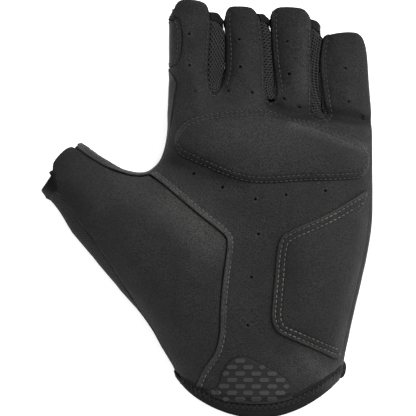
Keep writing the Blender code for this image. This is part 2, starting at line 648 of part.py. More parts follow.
def add_object(name, vertices, faces, colour, roughness):
    mesh = bpy.data.meshes.new(name)
    mesh.from_pydata([tuple(map(float, vertex)) for vertex in vertices], [], faces)
    mesh.materials.append(material(name, colour, roughness))
    mesh.shade_smooth()
    mesh.set_sharp_from_angle(angle=SMOOTH_BELOW)
    made = bpy.data.objects.new(name, mesh)
    bpy.context.collection.objects.link(made)


def add_slab(name, outline, thickness, colour, roughness):
    """A flat plate that lies on the surface below the glove."""
    runs = np.roll(outline, -1, axis=0)
    if (outline[:, 0] * runs[:, 1] - runs[:, 0] * outline[:, 1]).sum() < 0:
        outline = outline[::-1]
    count = len(outline)
    lower = np.column_stack([outline, np.zeros(count)])
    faces = [list(range(count))[::-1], list(range(count, 2 * count))]
    faces += [(k, (k + 1) % count, (k + 1) % count + count, k + count) for k in range(count)]
    add_object(name, np.vstack([lower, lower + (0, 0, thickness)]), faces, colour, roughness)


def centre_on_origin():
    """Puts the middle of the glove's bounding box over the origin."""
    corners = np.array([vertex.co for made in bpy.data.objects for vertex in made.data.vertices])
    middle = (corners.min(axis=0) + corners.max(axis=0)) / 2
    for made in bpy.data.objects:
        made.data.transform(Matrix.Translation((-middle[0], -middle[1], -corners[:, 2].min())))


def glove_plan():
    """The sides, open ends and seams as sampled routes in the plan."""
    marks = {name: place(share) for name, share in MARKS.items()}
    slits = [slit_sides(slit, marks) for slit in SLITS]
    sides = [trace(side.route, marks) for side in SIDES]
    side_marks = {stop for side in SIDES for stop in side.route} | (set(marks) - set(MARKS))
    tables = (PALM_ENDS, BACK_ENDS, PALM_SEAMS, BACK_SEAMS)
    return slits, sides, *([trace(route, marks, side_marks) for route in table] for table in tables)


def chain(routes):
    """One closed outline out of routes that share their end points."""
    waiting = list(routes)
    outline = list(waiting.pop(0))
    while waiting:
        gaps = [(min(math.dist(outline[-1], route[0]), math.dist(outline[-1], route[-1])), k)
                for k, route in enumerate(waiting)]
        route = waiting.pop(min(gaps)[1])
        if math.dist(outline[-1], route[0]) > math.dist(outline[-1], route[-1]):
            route = route[::-1]
        outline += list(route[1:])
    return np.array(outline[:-1])


def ghost_walls(sides, slits):
    """Straight runs past the open ends, which keep the fingers and the wrist from closing there."""
    ghosts = []
    for side, route in zip(SIDES, sides):
        for point, leaving in ((route[0], side.leaves_start), (route[-1], side.leaves_end)):
            direction = np.array(leaving) / np.linalg.norm(leaving)
            ghosts.append((point, point + direction * GHOST_LENGTH))
    for edges in slits:
        for edge in edges:
            ghosts.append((edge[0], edge[0] + np.array([0, GHOST_LENGTH])))
    return np.array(ghosts)


def closed_outline(shares):
    dense, _ = smooth_route([place(share) for share in shares], closed=True)
    return resample(dense)


def drawn_inside(route, outline, edges):
    """The stretches of a route that lie inside the outline and clear of its edges."""
    keep = inside(route, outline) & (nearest_distance(route, edges) > FINEST_STEP)
    stretches, current = [], []
    for point, kept in zip(route, keep):
        if kept:
            current.append(point)
        elif current:
            stretches.append(np.array(current))
            current = []
    if current:
        stretches.append(np.array(current))
    return [stretch for stretch in stretches if len(stretch) > 1]


def grown(outline, margin):
    """A closed outline moved outward by the margin."""
    centre = outline.mean(axis=0)
    runs = np.roll(outline, -1, axis=0) - np.roll(outline, 1, axis=0)
    normals = np.column_stack([runs[:, 1], -runs[:, 0]]) / np.linalg.norm(runs, axis=1)[:, None]
    if ((outline - centre) * normals).sum() < 0:
        normals = -normals
    return outline + normals * margin


def build():
    for old in list(bpy.data.objects):
        bpy.data.objects.remove(old)

    slits, sides, palm_ends, back_ends, palm_seams, back_seams = glove_plan()
    glued = sides + [edge for pair in slits for edge in pair]
    walls = to_segments(glued)
    full_walls = np.vstack([walls, ghost_walls(sides, slits)])

    pad_outlines = {pad.name: closed_outline(pad.outline) for pad in PADS}
    strap = closed_outline(STRAP_OUTLINE)[:-1]
    strap_seat = grown(strap, STRAP_MARGIN)
    angles = np.linspace(0, 2 * math.pi, PERFORATION_SIDES + 1)
    ring = np.column_stack([np.cos(angles), np.sin(angles)]) * PERFORATION_DIAMETER / 2
    holes = [place(share) + ring for share in PERFORATIONS]

    sheets = {}
    for name, ends, seams, drawn, cut in (
            ("palm", palm_ends, palm_seams, list(pad_outlines.values()), holes),
            ("back", back_ends, back_seams, [np.vstack([strap_seat, strap_seat[:1]])], [])):
        outline = chain(glued + ends)
        outer_edges = to_segments(glued + ends)
        drawn = [part for route in drawn for part in drawn_inside(route, outline, outer_edges)]
        fixed = to_segments(ends + seams + drawn + cut)
        rows = rounding_rows(glued, outline, walls, fixed)
        free = grid_points(rows, outline, walls, fixed)
        sheets[name] = triangulate(outline, glued + ends + seams, drawn + rows, cut, free)

    # One closed form out of the two sheets, welded along the sides
    positions, faces, names, index, flat, rests = [], [], [], {}, [], []
    for name, (points, sheet_faces, stops) in sheets.items():
        on_wall = nearest_distance(points, walls) < 1e-7
        heights = (palm_height(points, full_walls) if name == "palm"
                   else back_height(points, full_walls, strap_seat))
        heights = np.where(on_wall, SIDE_SEAM_HEIGHT + lift(points), heights)
        rest = rest_height(points, strap_seat)
        numbers = []
        for point, height, floor, welded in zip(points, heights, rest, on_wall):
            key = (round(point[0] * 1e6), round(point[1] * 1e6), welded or name)
            if key not in index:
                index[key] = len(positions)
                positions.append((point[0], point[1], height))
                flat.append(point)
                rests.append(floor)
            numbers.append(index[key])
        numbers = np.array(numbers)
        seeds = [(panel.name, share) for panel in PANELS
                 for share in (panel.palm_seeds if name == "palm" else panel.back_seeds)]
        names += list(flood(points, sheet_faces, stops, seeds))
        ordered = sheet_faces if name == "palm" else sheet_faces[:, ::-1]
        faces += list(numbers[ordered])
    positions, faces, flat, rests = map(np.array, (positions, faces, flat, rests))
    names = np.array(names, dtype=object)
    normals = vertex_normals(positions, faces)
    open_edges = {frozenset(edge) for edge in boundary(faces)}

    for panel in PANELS:
        mine = faces[names == panel.name]
        moves = drawn_in(positions, normals, mine, open_edges, SEAM_GAP / 2)
        outer = positions + moves + normals * panel.rise
        outer[:, 2] = np.maximum(outer[:, 2], rests)
        inner = positions + moves - normals * panel.wall
        add_object(panel.name, *closed_wall(mine, outer, inner), panel.colour, panel.roughness)

    palm = faces[names == "palm_panel"]
    centres = flat[palm].mean(axis=1)
    for pad in PADS:
        outline = pad_outlines[pad.name][:-1]
        mine = palm[inside(centres, outline)]
        rim = boundary(mine)
        edge_lines = np.array([(flat[a], flat[b]) for a, b in rim])
        depth = np.clip(nearest_distance(flat, edge_lines) / PAD_SHOULDER, 0, 1)
        thickness = PAD_EDGE + (pad.rise - PAD_EDGE) * np.sin(depth * math.pi / 2)
        moves = drawn_in(positions, normals, mine, set(), SEAM_GAP / 2)
        seat = positions + moves + normals * (LAP_RISE + SEAT_GAP)
        top = seat + normals * thickness[:, None]
        add_object(pad.name, *closed_wall(mine, top, seat), pad.colour, pad.roughness)

    add_slab("closure_strap", strap, STRAP_THICKNESS, ELASTIC, 0.8)
    centre_on_origin()


build()
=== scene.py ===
# A fingerless cycling glove lying palm up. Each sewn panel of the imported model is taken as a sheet,
# smoothed, given its rolled edges, grooves and folds, and made a wall again; threads and studs go on top.
import math

import bmesh
import bpy
import numpy as np
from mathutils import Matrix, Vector, noise
from mathutils.bvhtree import BVHTree
from mathutils.kdtree import KDTree


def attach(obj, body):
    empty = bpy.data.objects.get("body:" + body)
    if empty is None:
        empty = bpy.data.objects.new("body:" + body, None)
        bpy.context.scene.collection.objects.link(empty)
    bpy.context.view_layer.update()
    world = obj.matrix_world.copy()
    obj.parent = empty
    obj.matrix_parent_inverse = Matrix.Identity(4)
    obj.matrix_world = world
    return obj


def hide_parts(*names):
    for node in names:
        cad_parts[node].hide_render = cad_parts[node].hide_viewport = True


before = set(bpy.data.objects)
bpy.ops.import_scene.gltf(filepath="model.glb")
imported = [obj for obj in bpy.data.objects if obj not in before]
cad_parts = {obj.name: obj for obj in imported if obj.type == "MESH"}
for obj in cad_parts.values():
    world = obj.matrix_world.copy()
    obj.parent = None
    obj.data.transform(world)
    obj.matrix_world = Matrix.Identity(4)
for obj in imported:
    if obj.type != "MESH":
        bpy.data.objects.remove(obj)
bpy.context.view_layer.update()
gloveWidth, gloveLength = 0.1432, 0.1780
print("frame loaded:", len(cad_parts), "nodes")


def toLinear(code):
    # sRGB hex to linear light
    parts = [int(code[k:k + 2], 16) / 255 for k in (1, 3, 5)]
    return tuple(c / 12.92 if c <= 0.04045 else ((c + 0.055) / 1.055) ** 2.4 for c in parts) + (1,)


def addNode(tree, kind, inputs=None, out=None, **settings):
    # adds a node with its settings and links, and gives back the node or one of its outputs; a node given as an
    # input stands for its first output
    node = tree.nodes.new(kind)
    for name, value in settings.items():
        setattr(node, name, value)
    for socket, value in (inputs or {}).items():
        if isinstance(value, bpy.types.Node):
            value = value.outputs[0]
        if isinstance(value, bpy.types.NodeSocket):
            tree.links.new(value, node.inputs[socket])
        else:
            node.inputs[socket].default_value = value
    return node if out is None else node.outputs[out]


def newObject(name, data):
    made = bpy.data.objects.new(name, data)
    bpy.context.scene.collection.objects.link(made)
    return made


def onPlan(share):
    # a point of the plan from its shares across and along the glove
    return np.array([(share[0] - 0.5) * gloveWidth, (share[1] - 0.5) * gloveLength])


def routeDistance(points, route):
    # distance in the plan from each point to a route
    best = np.full(len(points), 1e9)
    for start, end in zip(route, route[1:]):
        run = end - start
        along = np.clip((points - start) @ run / (run @ run), 0, 1)
        best = np.minimum(best, np.linalg.norm(points - start - along[:, None] * run, axis=1))
    return best


def unitRows(vectors):
    return vectors / np.maximum(np.linalg.norm(vectors, axis=1)[:, None], 1e-12)


def vertexNormals(points, faces):
    corners = points[faces]
    crosses = np.cross(corners[:, 1] - corners[:, 0], corners[:, 2] - corners[:, 0])
    normals = np.zeros_like(points)
    for k in range(3):
        np.add.at(normals, faces[:, k], crosses)
    return unitRows(normals)


def sidesOf(faces):
    # the three directed sides of every triangle, as pairs of vertices
    return np.vstack([faces[:, [0, 1]], faces[:, [1, 2]], faces[:, [2, 0]]])


def openEdges(faces):
    # the directed edges with a face on one side only
    seen = set(map(tuple, sidesOf(faces).tolist()))
    return [edge for edge in seen if edge[::-1] not in seen]


def mergedMesh(nodeName):
    bm = bmesh.new()
    bm.from_mesh(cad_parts[nodeName].data)
    bmesh.ops.remove_doubles(bm, verts=bm.verts, dist=2e-6)
    bmesh.ops.triangulate(bm, faces=bm.faces[:])
    bm.normal_update()
    return bm


def allWalls():
    # every node in one search tree, to tell the outer sheets from the inner ones
    points, faces = [], []
    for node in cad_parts.values():
        base = len(points)
        points += [v.co.copy() for v in node.data.vertices]
        faces += [tuple(base + k for k in polygon.vertices) for polygon in node.data.polygons]
    return BVHTree.FromPolygons(points, faces)


gloveTree = allWalls()


gussets = "gusset_index_middle gusset_middle_ring gusset_ring_little"


def betweenFingers(bm, limit, deepest=0.0022, aside=0.0004):
    # A gusset folds too sharply at its crotch to be one smooth stretch, so its outer faces are known by the wall
    # close behind them and the open air above or below
    bm.faces.index_update()
    own = BVHTree.FromBMesh(bm)
    thin, chosen = set(), set()
    for face in bm.faces:
        centre = face.calc_center_median()
        depth = own.ray_cast(centre - face.normal * 1e-5, -face.normal)[3]
        if depth is None or depth > deepest:
            continue
        thin.add(face)
        beside = centre + face.normal * aside
        if any(gloveTree.ray_cast(beside, Vector((0, 0, way)))[0] is None for way in (1, -1)):
            chosen.add(face)
    for _ in range(3):
        for face in bm.faces:
            near = [other for edge in face.edges if edge.calc_face_angle(9) < limit
                    for other in edge.link_faces if other != face]
            votes = sum(other in chosen for other in near)
            if face in thin and votes >= 2:
                chosen.add(face)
            elif votes == 0:
                chosen.discard(face)
    groups = []
    while chosen:
        waiting, found = [chosen.pop()], []
        while waiting:
            face = waiting.pop()
            found.append(face)
            for other in {other for edge in face.edges for other in edge.link_faces} & chosen:
                chosen.discard(other)
                waiting.append(other)
        groups.append(sorted(found, key=lambda face: face.index))
    return max(groups, key=len)


def facingOut(bm, limit, samples=80, aside=0.0002):
    # the connected stretch of a node's skin that faces out of the glove
    bm.faces.ensure_lookup_table()
    label = [-1] * len(bm.faces)
    stretches = []
    for seed in bm.faces:
        if label[seed.index] >= 0:
            continue
        waiting, found = [seed], []
        label[seed.index] = len(stretches)
        while waiting:
            face = waiting.pop()
            found.append(face)
            for edge in face.edges:
                if len(edge.link_faces) != 2 or edge.calc_face_angle(9) > limit:
                    continue
                for other in edge.link_faces:
                    if label[other.index] < 0:
                        label[other.index] = len(stretches)
                        waiting.append(other)
        stretches.append(found)
    stretches.sort(key=lambda found: -sum(face.calc_area() for face in found))

    def escape(found):
        picked = found[::max(1, len(found) // samples)]
        free = sum(gloveTree.ray_cast(face.calc_center_median() + face.normal * aside, face.normal)[0] is None
                   for face in picked)
        return free / len(picked)

    return max(stretches[:2], key=escape)


def outerSheet(nodeName, creaseAngle=50):
    # a node's outer skin as a sheet of triangles
    bm = mergedMesh(nodeName)
    pick = betweenFingers if nodeName in gussets.split() else facingOut
    chosen = pick(bm, math.radians(creaseAngle))
    used = sorted({vertex.index for face in chosen for vertex in face.verts})
    number = {old: new for new, old in enumerate(used)}
    bm.verts.ensure_lookup_table()
    points = np.array([bm.verts[k].co[:] for k in used])
    faces = np.array([[number[vertex.index] for vertex in face.verts] for face in chosen])
    bm.free()
    return points, faces


def sharpCorners(points, faces, angle=38):
    # vertices of the open edge where it turns sharply
    following, before = {}, {}
    doubled = set()
    for a, b in openEdges(faces):
        if a in following or b in before:
            doubled.update((a, b))
        following[a], before[b] = b, a
    sharp = np.zeros(len(points), bool)
    for vertex in following:
        if vertex in doubled or vertex not in before:
            sharp[vertex] = True
            continue
        incoming = points[vertex] - points[before[vertex]]
        outgoing = points[following[vertex]] - points[vertex]
        cosine = incoming @ outgoing / (np.linalg.norm(incoming) * np.linalg.norm(outgoing))
        sharp[vertex] = cosine < math.cos(math.radians(angle))
    return sharp


def splitSmooth(points, faces, sharp):
    # one round of smooth subdivision: each triangle in four, open edges along their own smooth curve
    pairs = sidesOf(faces)
    across = np.concatenate([faces[:, 2], faces[:, 0], faces[:, 1]])
    edges, where, count = np.unique(np.sort(pairs, axis=1), axis=0, return_inverse=True, return_counts=True)
    where = where.ravel()
    ends = points[edges[:, 0]] + points[edges[:, 1]]
    wings = np.zeros_like(ends)
    np.add.at(wings, where, points[across])
    inner = count == 2
    middles = np.where(inner[:, None], ends * 3 / 8 + wings / 8, ends / 2)
    around, degree = np.zeros_like(points), np.zeros(len(points))
    rim, rimDegree = np.zeros_like(points), np.zeros(len(points))
    for k in (0, 1):
        np.add.at(around, edges[:, k], points[edges[:, 1 - k]])
        np.add.at(degree, edges[:, k], 1)
        np.add.at(rim, edges[~inner, k], points[edges[~inner, 1 - k]])
        np.add.at(rimDegree, edges[~inner, k], 1)
    weight = np.where(degree == 3, 3 / 16, 3 / (8 * np.maximum(degree, 1)))[:, None]
    moved = points * (1 - degree[:, None] * weight) + around * weight
    onRim = rimDegree > 0
    moved[onRim] = (points * 3 / 4 + rim / 8)[onRim]
    still = sharp | (rimDegree > 2)
    moved[still] = points[still]
    m0, m1, m2 = where.reshape(3, -1) + len(points)
    a, b, c = faces.T
    split = np.vstack([np.column_stack(t) for t in ((a, m0, m2), (b, m1, m0), (c, m2, m1), (m0, m1, m2))])
    return np.vstack([moved, middles]), split, np.concatenate([sharp, np.zeros(len(edges), bool)])


def flatten(points, faces):
    # lays a sheet out flat, in metres, with its own across direction along +X
    mesh = bpy.data.meshes.new("flatten")
    mesh.from_pydata(points.tolist(), [], faces.tolist())
    piece = newObject("flatten", mesh)
    bpy.context.view_layer.objects.active = piece
    mesh.uv_layers.new(name="flat")
    bpy.ops.object.mode_set(mode="EDIT")
    bpy.ops.mesh.select_all(action="SELECT")
    bpy.ops.uv.select_all(action="SELECT")
    bpy.ops.uv.unwrap(method="ANGLE_BASED", margin=0)
    bpy.ops.object.mode_set(mode="OBJECT")
    flat = np.zeros((len(points), 2))
    for loop, spot in zip(mesh.loops, mesh.uv_layers["flat"].data):
        flat[loop.vertex_index] = spot.uv
    bpy.data.objects.remove(piece)
    bpy.data.meshes.remove(mesh)
    corners, spots = points[faces], flat[faces]
    solid = np.linalg.norm(np.cross(corners[:, 1] - corners[:, 0], corners[:, 2] - corners[:, 0]), axis=1)
    plane = np.abs(np.cross(spots[:, 1] - spots[:, 0], spots[:, 2] - spots[:, 0]))
    flat = (flat - flat.mean(axis=0)) * math.sqrt(solid.sum() / max(plane.sum(), 1e-12))
    centred = points[:, :2] - points[:, :2].mean(axis=0)
    turn = math.atan2((flat[:, 0] * centred[:, 1] - flat[:, 1] * centred[:, 0]).sum(),
                      (flat * centred).sum())
    cosine, sine = math.cos(turn), math.sin(turn)
    return flat @ np.array([[cosine, sine], [-sine, cosine]])


coarse = {name: outerSheet(name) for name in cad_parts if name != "closure_strap"}
print("outer sheets:", {name: len(sheet[1]) for name, sheet in coarse.items()})


def borderSamples(name, step=0.0007):
    points, faces = coarse[name]
    samples = []
    for a, b in openEdges(faces):
        count = max(1, int(np.linalg.norm(points[b] - points[a]) / step))
        samples += [points[a] + (points[b] - points[a]) * k / count for k in range(count)]
    return samples


def searchTree(points):
    tree = KDTree(len(points))
    for k, point in enumerate(points):
        tree.insert(point, k)
    tree.balance()
    return tree


padNames = ("heel_pad", "knuckle_pad", "grip_patch")
borderTrees = {name: searchTree(borderSamples(name)) for name in coarse if name not in padNames}


def denseSheet(name, levels, withFlat=False):
    points, faces = coarse[name]
    sharp = sharpCorners(points, faces)
    carried = np.hstack([points, flatten(points, faces)]) if withFlat else points
    for _ in range(levels):
        carried, faces, sharp = splitSmooth(carried, faces, sharp)
    points = carried[:, :3]
    sheet = {"name": name, "points": points, "faces": faces, "flat": carried[:, 3:] if withFlat else None,
             "normals": vertexNormals(points, faces), "sharp": sharp}
    measureBorder(sheet)
    return sheet


def measureBorder(sheet, reach=0.0013, holeGirth=0.0065):
    # each vertex's distance from the sheet's edge, and what lies beyond the nearest stretch of that edge
    points, faces = sheet["points"], sheet["faces"]
    following = dict(openEdges(faces))
    before = {b: a for a, b in following.items()}
    beyond, seen = {}, set()
    for start in following:
        if start in seen:
            continue
        loop, vertex = [], start
        while vertex in following and vertex not in seen:
            seen.add(vertex)
            loop.append(vertex)
            vertex = following[vertex]
        girth = sum(np.linalg.norm(points[a] - points[b]) for a, b in zip(loop, loop[1:] + loop[:1]))
        for vertex in loop:
            if girth < holeGirth:
                beyond[vertex] = "hole"
                continue
            best = (reach, "open")
            for other, tree in borderTrees.items():
                if other != sheet["name"]:
                    gap = tree.find(points[vertex])[2]
                    if gap < best[0]:
                        best = (gap, other)
            beyond[vertex] = best[1]
    for a, b in following.items():
        # the side of each finger that leans over the next one is sewn further in
        inward = (points[b] - points[a])[1] < -0.35 * np.linalg.norm(points[b] - points[a])
        if inward and sheet["name"] == "palm_panel" and beyond[a] in gussets.split():
            beyond[a] = "gusset_over"
    rim = sorted(beyond)
    tree = searchTree([points[k] for k in rim])
    nearest = np.array([rim[tree.find(point)[1]] for point in points])
    gap = np.full(len(points), 1e9)
    for link in (following, before):
        far = np.array([link.get(k, k) for k in nearest])
        run = points[far] - points[nearest]
        size = np.maximum((run ** 2).sum(axis=1), 1e-18)
        along = np.clip(((points - points[nearest]) * run).sum(axis=1) / size, 0, 1)
        gap = np.minimum(gap, np.linalg.norm(points - points[nearest] - along[:, None] * run, axis=1))
    sheet["edge"] = gap
    sheet["beyond"] = np.array([beyond[k] for k in nearest], dtype=object)


# A crease runs along shares of the glove, with its half width and its height in metres; below nil it sinks. Its tone
# is painted shade in a groove and a painted highlight on a ridge
creases = [
    {"route": [(0.690, 0.754), (0.718, 0.736), (0.755, 0.726), (0.808, 0.730)], "half": 0.0026, "rise": -0.0018,
     "tone": -0.75},
    {"route": [(0.853, 0.728), (0.905, 0.716), (0.973, 0.708)], "half": 0.0024, "rise": -0.0016, "tone": -0.7},
    {"route": [(0.853, 0.706), (0.960, 0.694)], "half": 0.0018, "rise": 0.0005},
    {"route": [(0.745, 0.702), (0.808, 0.688), (0.870, 0.666), (0.958, 0.640)], "half": 0.0022, "rise": 0.0007,
     "tone": 0.3},
    {"route": [(0.400, 0.606), (0.455, 0.588), (0.520, 0.568), (0.590, 0.552)], "half": 0.0034, "rise": -0.0010,
     "tone": -0.35},
    {"route": [(0.412, 0.640), (0.450, 0.622), (0.500, 0.604)], "half": 0.0026, "rise": -0.0007},
    {"route": [(0.780, 0.985), (0.790, 0.900), (0.775, 0.800)], "half": 0.0042, "rise": 0.0006},
    {"route": [(0.130, 0.610), (0.190, 0.520), (0.210, 0.450)], "half": 0.0060, "rise": -0.0006},
    {"route": [(0.240, 0.560), (0.330, 0.470), (0.440, 0.440)], "half": 0.0070, "rise": 0.0007},
    {"route": [(0.780, 0.140), (0.830, 0.100)], "half": 0.0040, "rise": 0.0007},
    {"route": [(0.700, 0.160), (0.765, 0.120)], "half": 0.0030, "rise": -0.0004},
]


# Painted highlights where light falls full on the palm's slopes, and painted shade where it misses them: a route or a
# spot, its half width, and how much
paintedHighlightsAndShade = [
    {"route": [(0.505, 0.425), (0.470, 0.452), (0.400, 0.500)], "half": 0.0085, "tone": 0.42},
    {"route": [(0.330, 0.535), (0.220, 0.560)], "half": 0.0090, "tone": 0.15},
    {"route": [(0.760, 0.702), (0.870, 0.678), (0.960, 0.645)], "half": 0.0040, "tone": 0.10},
    {"route": [(0.800, 0.940), (0.800, 0.790)], "half": 0.0045, "tone": 0.25},
    {"route": [(0.780, 0.130), (0.860, 0.095)], "half": 0.0060, "tone": 0.35},
    {"route": [(0.600, 0.690), (0.700, 0.660)], "half": 0.0140, "tone": 0.12},
    {"route": [(0.040, 0.600), (0.100, 0.530)], "half": 0.0120, "tone": -0.55},
    {"route": [(0.400, 0.625), (0.520, 0.595)], "half": 0.0040, "tone": -0.35},
    {"route": [(0.620, 0.380), (0.640, 0.240)], "half": 0.0060, "tone": -0.12},
    {"route": [(0.725, 0.440), (0.750, 0.290)], "half": 0.0060, "tone": -0.15},
    {"route": [(0.560, 0.930), (0.560, 0.790)], "half": 0.0040, "tone": -0.30},
    {"route": [(0.722, 0.930), (0.735, 0.760)], "half": 0.0035, "tone": -0.25},
]


def creaseRise(sheet, facingGain=1.6):
    # folds of the palm's side and the painted highlights and painted shade laid on it, which fade where the cloth
    # turns away from above
    plan = sheet["points"][:, :2]
    facing = np.clip(sheet["normals"][:, 2] * facingGain, 0, 1)
    rise, tone = np.zeros(len(plan)), np.zeros(len(plan))
    for crease in creases:
        route = [onPlan(share) for share in crease["route"]]
        near = np.exp(-(routeDistance(plan, route) / crease["half"]) ** 2)
        rise += crease["rise"] * near
        tone += crease.get("tone", 0) * near
    for spot in paintedHighlightsAndShade:
        route = [onPlan(share) for share in spot["route"]]
        tone += spot["tone"] * np.exp(-(routeDistance(plan, route) / spot["half"]) ** 2)
    return rise * facing, tone * facing


def waveRise(sheet, size, height, seed):
    # the slow unevenness of cloth that has been handled
    offset = Vector((seed * 3.7, seed * 1.9, seed * 5.3))
    return height * np.array([noise.fractal(Vector(p) / size + offset, 0.8, 2.0, 2) for p in sheet["points"]])


# what a seam has unless it says otherwise, in metres and in shares of tone: rubbing with a painted highlight on the
# lip, and painted shade in the stitch grooves and at the edge
plainSeam = {"roll": 0, "rollWidth": 0.0006, "lip": 0, "lipWidth": 0, "lipRubAndHighlight": 0, "soft": 0.0005, "rows": (),
             "groove": 0.0001, "grooveWidth": 0.0005, "rowShade": 0.35, "shade": 0.6}


def seamRise(sheet, seams):
    # rolled edge, raised lip and stitch grooves, by what the edge is sewn to; the lip is rubbed pale with a painted
    # highlight, and the grooves and the edge get painted shade
    rise = np.zeros(len(sheet["points"]))
    wear = np.zeros(len(rise))
    for names, own in seams.items():
        seam = {**plainSeam, **own}
        mine = np.isin(sheet["beyond"], names.split())
        d = sheet["edge"][mine]
        part = -seam["roll"] * np.clip(1 - d / seam["rollWidth"], 0, 1) ** 2
        fade = np.clip((seam["lipWidth"] + seam["soft"] - d) / seam["soft"], 0, 1)
        part += seam["lip"] * fade * fade * (3 - 2 * fade)
        tone = seam["lipRubAndHighlight"] * fade
        for row in seam["rows"]:
            groove = np.exp(-((d - row) / seam["grooveWidth"]) ** 2)
            part -= seam["groove"] * groove
            tone -= seam["rowShade"] * groove
        tone -= seam["shade"] * np.clip(1 - d / seam["soft"], 0, 1)
        rise[mine] = part
        wear[mine] = tone
    return rise, wear


def softened(sheet, values, rounds=1):
    pairs = np.unique(np.sort(sidesOf(sheet["faces"]), axis=1), axis=0)
    for _ in range(rounds):
        total, count = np.zeros_like(values), np.zeros(len(values))
        for k in (0, 1):
            np.add.at(total, pairs[:, k], values[pairs[:, 1 - k]])
            np.add.at(count, pairs[:, k], 1)
        values = values / 2 + total / np.maximum(count, 1) / 2
    return values


def borderOutward(sheet):
    # the way off the sheet at each vertex of its open edge, level with its surface
    points, normals = sheet["points"], sheet["normals"]
    outward = {}
    for a, b in openEdges(sheet["faces"]):
        side = np.cross(points[b] - points[a], normals[a] + normals[b])
        for vertex in (a, b):
            outward[vertex] = outward.get(vertex, 0) + side / max(np.linalg.norm(side), 1e-12)
    return {vertex: way / max(np.linalg.norm(way), 1e-9) for vertex, way in outward.items()}


def carryOn(sheet, names, steps, tone):
    # carries the open edge on over or under its neighbour, one strip of cloth for each step; the tone given to the
    # strips is painted shade where they go under or down
    outward = borderOutward(sheet)
    beyond = sheet["beyond"]
    rim = [edge for edge in openEdges(sheet["faces"])
           if beyond[edge[0]] in names and beyond[edge[1]] in names]
    if not rim:
        return
    root = {k: k for edge in rim for k in edge}
    points, normals = sheet["points"], sheet["normals"]
    for reach, rise in steps:
        used = sorted({k for edge in rim for k in edge})
        first = len(sheet["points"])
        fresh = {old: first + n for n, old in enumerate(used)}
        root.update({fresh[old]: root[old] for old in used})
        origin = [root[old] for old in used]
        ways = np.array([outward[k] for k in origin])
        sheet["points"] = np.vstack([sheet["points"], points[origin] + ways * reach + normals[origin] * rise])
        strip = [(b, a, fresh[a]) for a, b in rim] + [(b, fresh[a], fresh[b]) for a, b in rim]
        sheet["faces"] = np.vstack([sheet["faces"], strip])
        sheet["edge"] = np.concatenate([sheet["edge"], np.full(len(used), -reach)])
        sheet["wear"] = np.concatenate([sheet["wear"], np.full(len(used), tone)])
        sheet["beyond"] = np.concatenate([beyond, np.full(len(used), "lap", dtype=object)])
        beyond = sheet["beyond"]
        if sheet["flat"] is not None:
            sheet["flat"] = np.vstack([sheet["flat"], sheet["flat"][origin]])
        rim = [(fresh[a], fresh[b]) for a, b in rim]
    sheet["normals"] = vertexNormals(sheet["points"], sheet["faces"])


def bulgeRise(sheet, most, free=0.2, share=(0.84, 1.1), taper=0.0009, aside=0.0003, farthest=0.02):
    # loose cloth between the fingers swells towards what faces it: the side seen from above most, and the other
    # side into what is left of the gap
    points, normals = sheet["points"], sheet["normals"]
    rise = np.zeros(len(points))
    for k, (point, normal) in enumerate(zip(points, normals)):
        away = Vector(normal)
        gap = gloveTree.ray_cast(Vector(point) + away * aside, away, farthest)[3]
        if gap is None:
            rise[k] = most * free
            continue
        first = min(most, share[0] * gap)
        rise[k] = first if normal[0] > 0 else min(most, share[1] * (gap - first))
    rise = softened(sheet, rise, 8)
    return rise * (1 - np.exp(-(sheet["edge"] / taper) ** 2))


def clearOfFloor(points, lowest=0.0):
    points[:, 2] = np.maximum(points[:, 2], lowest)
    return points


def makeWall(sheet, pieceName, material, thickness, lining=None):
    # a sheet becomes a finished piece: its skin, its thickness inwards, and its material
    mesh = bpy.data.meshes.new(pieceName)
    mesh.from_pydata(sheet["points"].tolist(), [], sheet["faces"].tolist())
    # the second attribute holds rubbing and painted highlights above nil, and painted shade below it
    for label, values in (("edge", sheet["edge"]), ("wear", sheet["wear"])):
        layer = mesh.attributes.new(label, "FLOAT", "POINT")
        layer.data.foreach_set("value", values.astype(np.float32))
    if sheet["flat"] is not None:
        layer = mesh.uv_layers.new(name="cut")
        loops = np.zeros(len(mesh.loops), np.int32)
        mesh.loops.foreach_get("vertex_index", loops)
        layer.data.foreach_set("uv", sheet["flat"][loops].astype(np.float32).ravel())
    mesh.materials.append(material)
    if lining:
        mesh.materials.append(lining)
    mesh.shade_smooth()
    piece = newObject(pieceName, mesh)
    wall = piece.modifiers.new("wall", "SOLIDIFY")
    wall.thickness = thickness
    wall.offset = -1
    wall.material_offset = wall.material_offset_rim = 1 if lining else 0
    wall.use_even_offset = False
    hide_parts(sheet["name"])
    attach(piece, "root")
    return piece


# Microfibre suede, brushed: a short nap that scatters light, so it is dull and speckled, paler where it is rubbed
# and under painted highlights, and darker with painted shade in its seams, grooves and creases.
# Its fibres are under 0.1 mm, and are drawn coarser so that they show.
suedeLook = {"deep": "#050506", "pale": "#292929", "base": "#131314", "rubbedAndHighlight": "#3e3e3d", "sunk": "#010101",
             "nap": 0.00065, "fibre": 0.00035, "patch": 0.010, "relief": 0.0003}
# Polyester mesh, warp knitted: rows of eyelets about 1 mm apart, dark where one looks through them
knitLook = {"thread": "#2b2b2c", "eyelet": "#020202", "pitch": 0.0011, "relief": 0.0005}
# Elastic tape, woven: faint ribs along its length, drawn coarser than the real 0.5 mm so that they show; it has
# painted highlights, and painted shade at its edges and under its neighbours
tapeLook = {"rib": "#19191a", "furrow": "#0e0e0f", "paintedHighlight": "#4c4c4a", "sunk": "#060606", "pitch": 0.0009,
            "fuzz": 0.0004, "relief": 0.00007}
# Rubber, printed or moulded: smoother than the cloth round it, with a little gloss on the studs
rubberLook = {"ground": "#0e0e0f", "stud": "#2e2e2f"}
# Polyester jersey, brushed: white, soft and faintly warm. Its loops are about 0.3 mm, and are drawn coarser.
jerseyLook = {"light": "#f2efee", "shade": "#d6d1d0", "pitch": 0.0006, "nap": 0.0009, "relief": 0.00016}
